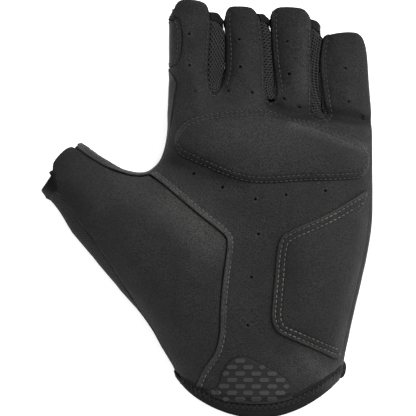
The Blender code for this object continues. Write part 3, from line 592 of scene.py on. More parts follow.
# Polyester thread, twisted: a faint gloss on each ply, rubbed bright along two seams and dull where it lies in the nap
threadLook = {"dull": "#1a1a19", "bright": "#65655e", "ply": 0.0003, "fade": 0.012, "relief": 0.00008}
quietThreadLook = {**threadLook, "dull": "#131312", "bright": "#393936"}
# Polyester lining, brushed: plain and dark
liningLook = {"colour": "#1c1c1d"}
# the fine grain of rubber and lining, and how much darker its hollows are painted, as shade
grain = {"size": 0.0005, "relief": 0.0001, "hollow": 0.7}


def newMaterial(name, roughness, **sockets):
    made = bpy.data.materials.new(name)
    made.use_nodes = True
    shader = made.node_tree.nodes["Principled BSDF"]
    shader.inputs["Roughness"].default_value = roughness
    for socket, value in sockets.items():
        shader.inputs[socket.replace("_", " ")].default_value = value
    return made, made.node_tree, shader


def finish(tree, shader, colour, layers, height, relief, strength=1.0):
    # the end of each material: colours laid over a first one, each by its own share, and the bumps of its surface
    for share, code in layers:
        colour = addNode(tree, "ShaderNodeMix", {0: share, 6: colour, 7: toLinear(code)}, out=2, data_type="RGBA")
    bump = addNode(tree, "ShaderNodeBump", {"Height": height, "Distance": relief, "Strength": strength})
    tree.links.new(colour, shader.inputs["Base Color"])
    tree.links.new(bump.outputs["Normal"], shader.inputs["Normal"])


def suedeMaterial(name, look):
    made, tree, shader = newMaterial(name, 0.62, Sheen_Weight=0.02, Sheen_Roughness=0.5, Specular_IOR_Level=0.20)
    where = addNode(tree, "ShaderNodeTexCoord", out="Object")
    nap, fibre, patch = [
        addNode(tree, "ShaderNodeTexNoise", {"Vector": where, "Scale": 1 / look[size], "Detail": detail}, out="Fac")
        for size, detail in (("nap", 3.0), ("fibre", 2.0), ("patch", 3.0))]
    wear = addNode(tree, "ShaderNodeAttribute", out="Fac", attribute_name="wear")
    both = addNode(tree, "ShaderNodeMath", {0: nap, 1: fibre}, operation="ADD")
    tufts = addNode(tree, "ShaderNodeMapRange", {0: both, 1: 0.84, 2: 1.16})
    patches = addNode(tree, "ShaderNodeMapRange", {0: patch, 1: 0.35, 2: 0.65, 3: 0.1, 4: 0.6})
    spots = addNode(tree, "ShaderNodeMapRange", {0: both, 1: 0.8, 2: 1.2, 3: 0.3, 4: 1.7})
    speckle = addNode(tree, "ShaderNodeMath", {0: wear, 1: spots}, operation="MULTIPLY")
    # rubbing with painted highlights makes the cloth paler, and painted shade makes it darker
    rubAndHighlight = addNode(tree, "ShaderNodeMapRange", {0: speckle, 1: 0.0, 2: 1.0})
    paintedShadeShare = addNode(tree, "ShaderNodeMapRange", {0: wear, 1: 0.0, 2: -1.0})
    layers = [(tufts, look["pale"]), (patches, look["base"]), (rubAndHighlight, look["rubbedAndHighlight"]), (paintedShadeShare, look["sunk"])]
    finish(tree, shader, toLinear(look["deep"]), layers, both, look["relief"])
    return made


def knitMaterial(name, look):
    made, tree, shader = newMaterial(name, 0.7, Sheen_Weight=0.02, Specular_IOR_Level=0.09)
    split = addNode(tree, "ShaderNodeSeparateXYZ", {0: addNode(tree, "ShaderNodeUVMap", uv_map="cut")})
    half = addNode(tree, "ShaderNodeMath", {0: split.outputs["Y"], 1: 0.5}, operation="MULTIPLY")
    slant = addNode(tree, "ShaderNodeMath", {0: split.outputs["X"], 1: half}, operation="ADD")
    sheared = addNode(tree, "ShaderNodeCombineXYZ", {"X": slant, "Y": split.outputs["Y"]})
    cells = addNode(tree, "ShaderNodeTexVoronoi", {"Vector": sheared, "Scale": 1 / look["pitch"],
                                                   "Randomness": 0.12}, out="Distance", voronoi_dimensions="2D")
    solid = addNode(tree, "ShaderNodeMapRange", {0: cells, 1: 0.2, 2: 0.42})
    finish(tree, shader, toLinear(look["eyelet"]), [(solid, look["thread"])], solid, look["relief"])
    return made


def tapeMaterial(name, look):
    made, tree, shader = newMaterial(name, 0.7, Sheen_Weight=0.02, Specular_IOR_Level=0.09)
    where = addNode(tree, "ShaderNodeTexCoord", out="Object")
    fuzz = addNode(tree, "ShaderNodeTexNoise", {"Vector": where, "Scale": 1 / look["fuzz"], "Detail": 2.0}, out="Fac")
    edge, wear = [addNode(tree, "ShaderNodeAttribute", out="Fac", attribute_name=label)
                  for label in ("edge", "wear")]
    turns = addNode(tree, "ShaderNodeMath", {0: edge, 1: 2 * math.pi / look["pitch"]}, operation="MULTIPLY")
    ribs = addNode(tree, "ShaderNodeMath", {0: turns}, operation="SINE")
    raised = addNode(tree, "ShaderNodeMapRange", {0: ribs, 1: -1.0, 2: 1.0})
    height = addNode(tree, "ShaderNodeMath", {0: raised, 1: fuzz}, operation="ADD")
    # after the ribs come the painted highlight and the painted shade
    shares = [addNode(tree, "ShaderNodeMapRange", {0: value, 1: low, 2: high})
              for value, low, high in ((height, 0.3, 1.6), (wear, 0.0, 1.0), (wear, 0.0, -1.0))]
    layers = zip(shares, (look["rib"], look["paintedHighlight"], look["sunk"]))
    finish(tree, shader, toLinear(look["furrow"]), layers, height, look["relief"])
    return made


def grainedMaterial(name, code, roughness):
    made, tree, shader = newMaterial(name, roughness, Specular_IOR_Level=0.3)
    where = addNode(tree, "ShaderNodeTexCoord", out="Object")
    bumps = addNode(tree, "ShaderNodeTexNoise", {"Vector": where, "Scale": 1 / grain["size"], "Detail": 3.0},
                    out="Fac")
    share = addNode(tree, "ShaderNodeMapRange", {0: bumps, 1: 0.3, 2: 0.7})
    hollow = tuple(part * grain["hollow"] for part in toLinear(code)[:3]) + (1,)
    finish(tree, shader, hollow, [(share, code)], bumps, grain["relief"])
    return made


def jerseyMaterial(name, look):
    made, tree, shader = newMaterial(name, 0.9, Sheen_Weight=0.3, Specular_IOR_Level=0.2)
    flat = addNode(tree, "ShaderNodeUVMap", uv_map="cut")
    where = addNode(tree, "ShaderNodeTexCoord", out="Object")
    nap = addNode(tree, "ShaderNodeTexNoise", {"Vector": where, "Scale": 1 / look["nap"], "Detail": 4.0}, out="Fac")
    loops = addNode(tree, "ShaderNodeTexVoronoi", {"Vector": flat, "Scale": 1 / look["pitch"], "Randomness": 0.35},
                    out="Distance", voronoi_dimensions="2D")
    height = addNode(tree, "ShaderNodeMath", {0: loops, 1: nap}, operation="ADD")
    share = addNode(tree, "ShaderNodeMapRange", {0: height, 1: 0.4, 2: 1.1})
    finish(tree, shader, toLinear(look["light"]), [(share, look["shade"])], height, look["relief"], 0.7)
    return made


def threadMaterial(name, look):
    made, tree, shader = newMaterial(name, 0.55, Specular_IOR_Level=0.4)
    where = addNode(tree, "ShaderNodeTexCoord", out="Object")
    ply, fade = [
        addNode(tree, "ShaderNodeTexNoise", {"Vector": where, "Scale": 1 / look[size], "Detail": 2.0}, out="Fac")
        for size in ("ply", "fade")]
    both = addNode(tree, "ShaderNodeMath", {0: ply, 1: fade}, operation="ADD")
    share = addNode(tree, "ShaderNodeMapRange", {0: both, 1: 0.8, 2: 1.25})
    finish(tree, shader, toLinear(look["dull"]), [(share, look["bright"])], ply, look["relief"])
    return made


suede = suedeMaterial("brushed_microfibre_suede", suedeLook)
knit = knitMaterial("warp_knitted_polyester_mesh", knitLook)
tape = tapeMaterial("woven_elastic_tape", tapeLook)
printGround = grainedMaterial("rubber_printed_suede", rubberLook["ground"], 0.7)
strapRubber = grainedMaterial("moulded_rubber_strap", rubberLook["ground"], 0.7)
printStud = grainedMaterial("moulded_rubber_stud", rubberLook["stud"], 0.5)
jersey = jerseyMaterial("brushed_polyester_jersey", jerseyLook)
thread = threadMaterial("twisted_polyester_thread", threadLook)
quietThread = threadMaterial("twisted_polyester_thread_in_nap", quietThreadLook)
lining = grainedMaterial("brushed_polyester_lining", liningLook["colour"], 0.85)
print("finishes made")


turned = {"roll": 0.0003, "rollWidth": 0.0007}
hems = ["index_hem", "middle_hem", "ring_hem", "little_hem"]
gussetPanel = {"levels": 3, "finish": knit, "slot": "mesh", "wall": 0.0008, "wave": 0.00010, "flat": True,
               "bulge": 0.0034, "under": ["palm_panel", "back_panel", "open"] + hems,
               "seams": {"palm_panel back_panel": turned}}
hemPanel = {"levels": 3, "finish": tape, "slot": "binding", "wall": 0.0012, "hemBulge": 0.0010, "tone": -0.25,
            "seams": {"open": turned}}
panels = {
    "palm_panel": {"levels": 3, "finish": suede, "slot": "suede", "wall": 0.0011, "wave": 0.00012,
                   "under": ["index_side_tab", "thumb_web_band"], "down": ["thumb_panel"], "seams": {
        "thumb_panel": {"lip": 0.00035, "lipWidth": 0.0020, "lipRubAndHighlight": 0.45, "rows": [0.0022], "groove": 0.0002,
                        "roll": 0.0002, "shade": 0.35},
        gussets: {"lip": 0.00015, "lipWidth": 0.0008, "lipRubAndHighlight": 0.12, "rows": [0.0011], **turned},
        "gusset_over": {"lip": 0.00015, "lipWidth": 0.0021, "lipRubAndHighlight": 0.25, "rows": [0.0025], **turned},
        "thumb_web_band": {"roll": 0.0004, "rollWidth": 0.0009},
        "index_side_tab": {"roll": 0.0004, "rollWidth": 0.0008},
        "back_panel": {"roll": 0.0003, "rollWidth": 0.0009, "shade": 0.3},
        "wrist_binding": {"roll": 0.0007, "rollWidth": 0.0026},
        "hole": {"lip": 0.0001, "lipWidth": 0.0004, "lipRubAndHighlight": 0.35, "roll": 0.0002, "rollWidth": 0.0003,
                 "shade": 0.4},
        "open index_hem middle_hem ring_hem little_hem": turned}},
    "thumb_panel": {"levels": 4, "finish": suede, "slot": "suede", "wall": 0.0011, "wave": 0.00018,
                    "under": ["palm_panel", "thumb_web_band"], "seams": {
        "palm_panel": {"roll": 0.00025, "rollWidth": 0.0014, "shade": 0.35},
        "thumb_back_mesh": {"roll": 0.0003, "rollWidth": 0.0008},
        "thumb_web_band wrist_binding": {"roll": 0.0004, "rollWidth": 0.0010},
        "open thumb_hem": turned}},
    "index_side_tab": {"levels": 4, "finish": suede, "slot": "suede", "wall": 0.0010, "wave": 0.0001,
                       "under": ["thumb_web_band", "back_panel", "index_hem"], "seams": {
        "palm_panel": {"lip": 0.0001, "lipWidth": 0.0012, "lipRubAndHighlight": 0.1, "rows": [0.0016], **turned},
        "open index_hem back_panel thumb_web_band": turned}},
    "thumb_web_band": {"levels": 3, "finish": suede, "slot": "binding", "wall": 0.0010, "wave": 0.00008,
                       "under": ["index_side_tab", "back_panel", "thumb_back_mesh"], "seams": {
        "palm_panel thumb_panel": {"roll": 0.0003, "rollWidth": 0.0006, "lip": 0.0002, "lipWidth": 0.0008,
                                   "lipRubAndHighlight": 0.3},
        "back_panel thumb_back_mesh thumb_hem index_side_tab": turned}},
    "wrist_binding": {"levels": 3, "finish": tape, "slot": "binding", "wall": 0.0012, "wave": 0.00012,
                      "over": ["palm_panel", "thumb_panel"], "under": ["back_panel", "thumb_back_mesh"], "seams": {
        "palm_panel thumb_panel back_panel thumb_back_mesh": {"roll": 0.0004, "rollWidth": 0.0008},
        "open": {"roll": 0.0006, "rollWidth": 0.0010, "shade": 0.2}}},
    "thumb_back_mesh": {"levels": 3, "finish": knit, "slot": "mesh", "wall": 0.0008, "wave": 0.00012, "flat": True,
                        "under": ["thumb_panel", "back_panel", "thumb_web_band", "thumb_hem"],
                        "seams": {"thumb_panel back_panel thumb_hem wrist_binding thumb_web_band": turned}},
    **{name: gussetPanel for name in gussets.split()},
    "back_panel": {"levels": 3, "finish": jersey, "slot": "back", "wall": 0.0010, "wave": 0.0001, "flat": True,
                   "under": ["palm_panel"], "lining": lining,
                   "seams": {"palm_panel": {"roll": 0.0002, "rollWidth": 0.0008, "shade": 0.1}}},
    "thumb_hem": {**hemPanel, "under": ["thumb_panel", "thumb_back_mesh", "thumb_web_band"]},
    **{name: hemPanel for name in hems},
}
# rim is how much paler the raised rim of a pad is, rubbed and with a painted highlight
pads = {
    "heel_pad": {"levels": 3, "finish": suede, "slot": "suede", "wall": 0.0008, "fill": 0.7, "rows": [0.0019, 0.0041],
                 "sink": 0.0009, "sinkWidth": 0.0009, "rim": 0.40, "groove": 0.00032, "crown": 0.0007,
                 "wave": 0.00012, "pressure": 60.0, "cap": 0.0010},
    "knuckle_pad": {"levels": 3, "finish": suede, "slot": "suede", "wall": 0.0008, "fill": 0.8,
                    "rows": [0.0006, 0.0027], "sink": 0.0010, "sinkWidth": 0.0034, "rim": 0.08, "groove": 0.00022,
                    "crown": 0.0012, "wave": 0.00012, "pressure": 60.0, "cap": 0.0014},
}

# reach and rise of each strip that a seam carries on under its neighbour, or that the tape laps over the palm
seamAllowance = [(0.0006, -0.0005), (0.0015, -0.0011)]
lapOver = [(0.0005, 0.00045), (0.0014, 0.0006), (0.0017, 0.0002)]
turnedDown = [(0.00012, -0.0004), (0.00020, -0.0014)]
punchedEdge = [(0.00006, -0.00006), (0.00010, -0.0004)]
handledSize = 0.012  # across one swell of handled cloth
sheets = {}
for seed, (name, panel) in enumerate(panels.items()):
    sheet = denseSheet(name, panel["levels"], panel.get("flat", False))
    rise, wear = seamRise(sheet, panel["seams"])
    folds, tone = creaseRise(sheet)
    rise += folds
    if panel.get("wave"):
        rise += waveRise(sheet, handledSize, panel["wave"], seed)
    if panel.get("bulge"):
        rise += bulgeRise(sheet, panel["bulge"])
    if panel.get("hemBulge"):
        rise += bulgeRise(sheet, panel["hemBulge"], 0, (0.55, 1.0), 0.0005)
    rise = softened(sheet, rise)
    # the seams' rubbing and painted shade, the painted light of folds and slopes, and the panel's own tone
    sheet["wear"] = softened(sheet, wear + tone + panel.get("tone", 0))
    sheet["points"] = clearOfFloor(sheet["points"] + sheet["normals"] * rise[:, None])
    sheet["normals"] = vertexNormals(sheet["points"], sheet["faces"])
    carryOn(sheet, panel.get("over", ()), lapOver, 0)
    # the strips under a neighbour, turned down or round a punched hole get painted shade
    carryOn(sheet, panel.get("under", ()), seamAllowance, -0.35)
    carryOn(sheet, panel.get("down", ()), turnedDown, -0.3)
    carryOn(sheet, ["hole"], punchedEdge, -0.2)
    sheet["points"] = clearOfFloor(sheet["points"])
    makeWall(sheet, name + "_sewn", panel["finish"], panel["wall"], panel.get("lining"))
    sheets[name] = sheet
print("panels sewn:", {name: len(sheet["faces"]) for name, sheet in sheets.items()})


def sewnSide(sheet):
    # which part of a pad has stitches: all but the side that faces the glove's outer edge
    outward = borderOutward(sheet)
    rim = sorted(outward)
    tree = searchTree([sheet["points"][k] for k in rim])
    nearest = [rim[tree.find(point)[1]] for point in sheet["points"]]
    ahead = np.array([outward[k][0] / max(np.hypot(*outward[k][:2]), 1e-9) for k in nearest])
    sewn = (ahead < 0.82) | (sheet["name"] != "heel_pad")
    sheet["beyond"] = np.where(sewn, "seat", "side").astype(object)
    return sewn


def puff(sheet, pad, simScale=10, frames=20):
    # cloth simulation: the pad's cover is pinned outside its inner row and blown up by the gel beneath it
    mesh = bpy.data.meshes.new("puff")
    mesh.from_pydata((sheet["points"] * simScale).tolist(), [], sheet["faces"].tolist())
    cover = newObject("puff", mesh)
    pins = cover.vertex_groups.new(name="pins")
    pins.add([int(k) for k in np.flatnonzero(sheet["edge"] < pad["rows"][-1])], 1.0, "REPLACE")
    cloth = cover.modifiers.new("cloth", "CLOTH")
    cloth.settings.vertex_group_mass = "pins"
    cloth.settings.use_pressure = True
    cloth.settings.uniform_pressure_force = pad["pressure"]
    cloth.settings.effector_weights.gravity = 0
    cloth.point_cache.frame_end = frames
    for number in range(1, frames + 1):
        bpy.context.scene.frame_set(number)
    swollen = bpy.data.meshes.new_from_object(cover.evaluated_get(bpy.context.evaluated_depsgraph_get()))
    moved = np.zeros(len(swollen.vertices) * 3)
    swollen.vertices.foreach_get("co", moved)
    bpy.data.objects.remove(cover)
    bpy.data.meshes.remove(mesh)
    bpy.data.meshes.remove(swollen)
    bpy.context.scene.frame_set(1)
    shift = moved.reshape(-1, 3) / simScale - sheet["points"]
    size = np.linalg.norm(shift, axis=1)
    print("cloth simulation:", sheet["name"], len(size), "points, rose up to %.2f mm" % (size.max() * 1000))
    capped = pad["cap"] * np.tanh(size / pad["cap"]) / np.maximum(size, 1e-9)
    return sheet["points"] + shift * capped[:, None]


plainSide = {"sink": 0.0010, "width": 0.0090}
rimHighlightAndShade = {"at": 0.0009, "half": 0.0007, "edge": 0.0004}
grooveHalf, crownWidth, foldShare, firstPadSeed = 0.0005, 0.006, 0.7, 30
for seed, (name, pad) in enumerate(pads.items()):
    sheet = denseSheet(name, pad["levels"])
    sheet["points"] = puff(sheet, pad)
    sheet["points"], sheet["faces"], sheet["sharp"] = splitSmooth(sheet["points"], sheet["faces"], sheet["sharp"])
    sheet["normals"] = vertexNormals(sheet["points"], sheet["faces"])
    measureBorder(sheet)
    d = sheet["edge"]
    sewn = softened(sheet, sewnSide(sheet).astype(float), 12)
    rise = -pad["sink"] * sewn * np.clip(1 - d / pad["sinkWidth"], 0, 1) ** 2
    rise -= plainSide["sink"] * (1 - sewn) * np.clip(1 - d / plainSide["width"], 0, 1) ** 2
    # a paler rim, rubbed and with a painted highlight; painted shade at the very edge and in the stitch grooves
    wear = pad["rim"] * np.exp(-((d - rimHighlightAndShade["at"]) / rimHighlightAndShade["half"]) ** 2)
    wear -= 0.5 * np.clip(1 - d / rimHighlightAndShade["edge"], 0, 1)
    for row in pad["rows"]:
        groove = np.exp(-((d - row) / grooveHalf) ** 2)
        rise -= pad["groove"] * groove * sewn
        wear -= 0.3 * groove
    wear *= sewn
    folds, tone = creaseRise(sheet)
    rise += folds * foldShare + waveRise(sheet, handledSize, pad["wave"], firstPadSeed + seed)
    sheet["wear"] = softened(sheet, wear + tone)
    sheet["points"] = sheet["points"] + sheet["normals"] * softened(sheet, rise)[:, None]
    sheet["normals"] = vertexNormals(sheet["points"], sheet["faces"])
    piece = makeWall(sheet, name + "_sewn", pad["finish"], pad["wall"])
    sheets[name] = sheet

# the patch thins out at its edge, and further in where it is tucked under the wrist tape
gripSeat = {"drop": 0.0009, "edge": 0.0007, "tuck": 0.0034, "tuckFade": 0.0014, "wall": 0.0008}
sheet = denseSheet("grip_patch", 4)
sheet["beyond"][:] = "seat"
sheet["wear"] = np.zeros(len(sheet["points"]))
tuck = np.array([borderTrees["wrist_binding"].find(point)[2] for point in sheet["points"]])
drop = gripSeat["drop"] * np.clip(1 - sheet["edge"] / gripSeat["edge"], 0, 1) ** 2
drop = np.maximum(drop, gripSeat["drop"] * np.clip((gripSeat["tuck"] - tuck) / gripSeat["tuckFade"], 0, 1))
sheet["points"] = sheet["points"] - sheet["normals"] * drop[:, None]
sheet["normals"] = vertexNormals(sheet["points"], sheet["faces"])
makeWall(sheet, "grip_patch_sewn", printGround, gripSeat["wall"])
sheets["grip_patch"] = sheet
print("pads made")


def levelRoutes(sheet, level, beyond=None, shortest=0.004):
    # the lines on a sheet that run at one distance from its edge, beside what it is sewn to
    points, faces, normals, d = sheet["points"], sheet["faces"], sheet["normals"], sheet["edge"]
    wanted = np.ones(len(points), bool) if beyond is None else np.isin(sheet["beyond"], beyond.split())
    sides = d[faces] > level
    mixed = (sides.any(axis=1) & ~sides.all(axis=1) & wanted[faces].all(axis=1))
    spots, links = {}, {}
    for face in faces[mixed]:
        ends = []
        for a, b in ((face[0], face[1]), (face[1], face[2]), (face[2], face[0])):
            if (d[a] > level) != (d[b] > level):
                key = (min(a, b), max(a, b))
                t = (level - d[a]) / (d[b] - d[a])
                spots[key] = (points[a] + (points[b] - points[a]) * t,
                              normals[a] + (normals[b] - normals[a]) * t)
                ends.append(key)
        if len(ends) == 2:
            links.setdefault(ends[0], []).append(ends[1])
            links.setdefault(ends[1], []).append(ends[0])
    routes, seen = [], set()
    starts = [key for key in links if len(links[key]) == 1] + list(links)
    for start in starts:
        if start in seen:
            continue
        route, key = [], start
        while key is not None:
            seen.add(key)
            route.append(spots[key])
            key = next((other for other in links[key] if other not in seen), None)
        places = np.array([spot[0] for spot in route])
        length = np.linalg.norm(np.diff(places, axis=0), axis=1).sum() if len(places) > 1 else 0
        if length > shortest:
            routes.append((places, unitRows(np.array([spot[1] for spot in route]))))
    return routes


def evened(places, normals, step=0.0004):
    # evenly spaced points of a route, with the small zigzag of the triangles smoothed out
    for _ in range(6):
        places[1:-1] = places[1:-1] / 2 + (places[:-2] + places[2:]) / 4
        normals[1:-1] = normals[1:-1] / 2 + (normals[:-2] + normals[2:]) / 4
    along = np.concatenate([[0], np.cumsum(np.linalg.norm(np.diff(places, axis=0), axis=1))])
    stops = np.linspace(0, along[-1], max(2, int(along[-1] / step)))
    placed, facing = [np.column_stack([np.interp(stops, along, values[:, k]) for k in range(3)])
                      for values in (places, normals)]
    return placed, unitRows(facing)


def newGroup(name, inputs):
    # a geometry node tree with named inputs, whose kind follows from their value
    tree = bpy.data.node_groups.new(name, "GeometryNodeTree")
    for way in ("INPUT", "OUTPUT"):
        tree.interface.new_socket(name="Geometry", in_out=way, socket_type="NodeSocketGeometry")
    for label, value in inputs.items():
        kind = {float: "Float", int: "Int"}.get(type(value), "Material")
        socket = tree.interface.new_socket(name=label, in_out="INPUT", socket_type="NodeSocket" + kind)
        socket.default_value = value
    return tree, addNode(tree, "NodeGroupInput").outputs


def painted(tree, geometry, material):
    # the end of each node tree: real geometry with its material
    real = addNode(tree, "GeometryNodeRealizeInstances", {"Geometry": geometry})
    done = addNode(tree, "GeometryNodeSetMaterial", {"Geometry": real, "Material": material})
    addNode(tree, "NodeGroupOutput", {"Geometry": done})
    return tree


def runGroup(tree, piece, values=None):
    # runs a node tree on a piece and keeps the plain mesh
    modifier = piece.modifiers.new("nodes", "NODES")
    modifier.node_group = tree
    sockets = {item.name: item.identifier for item in tree.interface.items_tree if item.in_out == "INPUT"}
    for name, value in (values or {}).items():
        modifier[sockets[name]] = value
    graph = bpy.context.evaluated_depsgraph_get()
    mesh = bpy.data.meshes.new_from_object(piece.evaluated_get(graph))
    piece.modifiers.remove(modifier)
    piece.data = mesh
    return piece


# pitch, length, thickness and height of a stitch, and step, reach and thickness of the zigzag, in metres
lockstitch = {"Pitch": 0.0021, "Length": 0.0012, "Thickness": 0.00023, "Arch": 0.00020}
zigzagStitch = {"Step": 0.0012, "Reach": 0.0011, "Thickness": 0.00016}


def stitchGroup():
    # short threads set end to end along a route, each an arch that dips into the cloth
    tree, given = newGroup("stitchRow", {**lockstitch, "Seed": 7, "Thread": thread})
    curve = addNode(tree, "GeometryNodeMeshToCurve", {"Mesh": given["Geometry"]})
    dots = addNode(tree, "GeometryNodeCurveToPoints", {"Curve": curve, "Length": given["Pitch"]},
                   mode="LENGTH")
    half = addNode(tree, "ShaderNodeMath", {0: given["Length"], 1: 0.5}, operation="MULTIPLY")
    back = addNode(tree, "ShaderNodeMath", {0: half, 1: -1.0}, operation="MULTIPLY")
    sunk = addNode(tree, "ShaderNodeMath", {0: given["Thickness"], 1: -1.0}, operation="MULTIPLY")
    top = addNode(tree, "ShaderNodeMath", {0: given["Arch"], 1: 2.0}, operation="MULTIPLY")
    start = addNode(tree, "ShaderNodeCombineXYZ", {"X": back, "Z": sunk})
    middle = addNode(tree, "ShaderNodeCombineXYZ", {"Z": top})
    end = addNode(tree, "ShaderNodeCombineXYZ", {"X": half, "Z": sunk})
    arch = addNode(tree, "GeometryNodeCurveQuadraticBezier", {"Resolution": 5, "Start": start,
                                                              "Middle": middle, "End": end})
    ring = addNode(tree, "GeometryNodeCurvePrimitiveCircle", {"Resolution": 6, "Radius": given["Thickness"]})
    one = addNode(tree, "GeometryNodeCurveToMesh", {"Curve": arch, "Profile Curve": ring,
                                                    "Fill Caps": True})
    up = addNode(tree, "GeometryNodeInputNamedAttribute", {"Name": "surfaceNormal"}, data_type="FLOAT_VECTOR")
    turn = addNode(tree, "FunctionNodeAxesToRotation", {"Primary Axis": up.outputs["Attribute"],
                                                        "Secondary Axis": dots.outputs["Tangent"]},
                   primary_axis="Z", secondary_axis="X")
    size = addNode(tree, "FunctionNodeRandomValue", {2: 0.9, 3: 1.1, "Seed": given["Seed"]}, data_type="FLOAT")
    row = addNode(tree, "GeometryNodeInstanceOnPoints", {"Points": dots.outputs["Points"],
                                                         "Instance": one,
                                                         "Rotation": turn, "Scale": size.outputs[1]})
    return painted(tree, row, given["Thread"])


def zigzagGroup():
    # one thread that crosses from side to side of a route
    tree, given = newGroup("zigzagThread", zigzagStitch)
    curve = addNode(tree, "GeometryNodeMeshToCurve", {"Mesh": given["Geometry"]})
    even = addNode(tree, "GeometryNodeResampleCurve", {"Curve": curve, "Length": given["Step"]},
                   mode="LENGTH")
    number = addNode(tree, "GeometryNodeInputIndex")
    parity = addNode(tree, "ShaderNodeMath", {0: number, 1: 2.0}, operation="MODULO")
    side = addNode(tree, "ShaderNodeMath", {0: parity, 1: 2.0, 2: -1.0}, operation="MULTIPLY_ADD")
    reach = addNode(tree, "ShaderNodeMath", {0: side, 1: given["Reach"]}, operation="MULTIPLY")
    up = addNode(tree, "GeometryNodeInputNamedAttribute", {"Name": "surfaceNormal"}, data_type="FLOAT_VECTOR")
    ahead = addNode(tree, "GeometryNodeInputTangent")
    across = addNode(tree, "ShaderNodeVectorMath", {0: up.outputs["Attribute"], 1: ahead},
                     operation="CROSS_PRODUCT")
    shift = addNode(tree, "ShaderNodeVectorMath", {0: across, "Scale": reach},
                    operation="SCALE")
    placed = addNode(tree, "GeometryNodeSetPosition", {"Geometry": even, "Offset": shift})
    ring = addNode(tree, "GeometryNodeCurvePrimitiveCircle", {"Resolution": 6, "Radius": given["Thickness"]})
    tube = addNode(tree, "GeometryNodeCurveToMesh", {"Curve": placed, "Profile Curve": ring,
                                                     "Fill Caps": True})
    return painted(tree, tube, quietThread)


def sewRows(pieceName, routes, tree, values, lift=0.00008):
    # lays the routes out as lines that carry the cloth's normal, and runs a thread along them
    points, edges, ups = [], [], []
    for places, normals in routes:
        places, normals = evened(places.copy(), normals.copy())
        base = len(points)
        points += (places + normals * lift).tolist()
        ups += normals.tolist()
        edges += [(base + k, base + k + 1) for k in range(len(places) - 1)]
    mesh = bpy.data.meshes.new(pieceName)
    mesh.from_pydata(points, edges, [])
    layer = mesh.attributes.new("surfaceNormal", "FLOAT_VECTOR", "POINT")
    layer.data.foreach_set("vector", np.array(ups, np.float32).ravel())
    piece = newObject(pieceName, mesh)
    runGroup(tree, piece, values)
    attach(piece, "root")
    return piece


stitch, zigzag = stitchGroup(), zigzagGroup()
brightRows = ("thumb_seam_thread", "heel_thread")
rows = {
    "thumb_seam_thread": ("palm_panel", [0.0022], "thumb_panel"),
    "gusset_thread": ("palm_panel", [0.0011], gussets),
    "gusset_over_thread": ("palm_panel", [0.0025], "gusset_over"),
    "tab_thread": ("index_side_tab", [0.0016], "palm_panel"),
    "heel_thread": ("heel_pad", pads["heel_pad"]["rows"], "seat"),
    "knuckle_thread": ("knuckle_pad", pads["knuckle_pad"]["rows"], "seat"),
}
for seed, (pieceName, (sheetName, levels, beyond)) in enumerate(rows.items()):
    routes = [route for level in levels for route in levelRoutes(sheets[sheetName], level, beyond)]
    sewRows(pieceName, routes, stitch,
            {**lockstitch, "Seed": seed, "Thread": thread if pieceName in brightRows else quietThread})
tapeRoutes = levelRoutes(sheets["wrist_binding"], 0.0010, "palm_panel thumb_panel")
print("tape routes:", [len(route[0]) for route in tapeRoutes])
sewRows("wrist_thread", tapeRoutes, zigzag, {})
print("threads sewn")


gripStuds = {"Across": 0.0034, "Along": 0.0027, "Size": 0.0012, "Stretch": 1.35, "Height": 0.0003,
             "Margin": 0.0008}


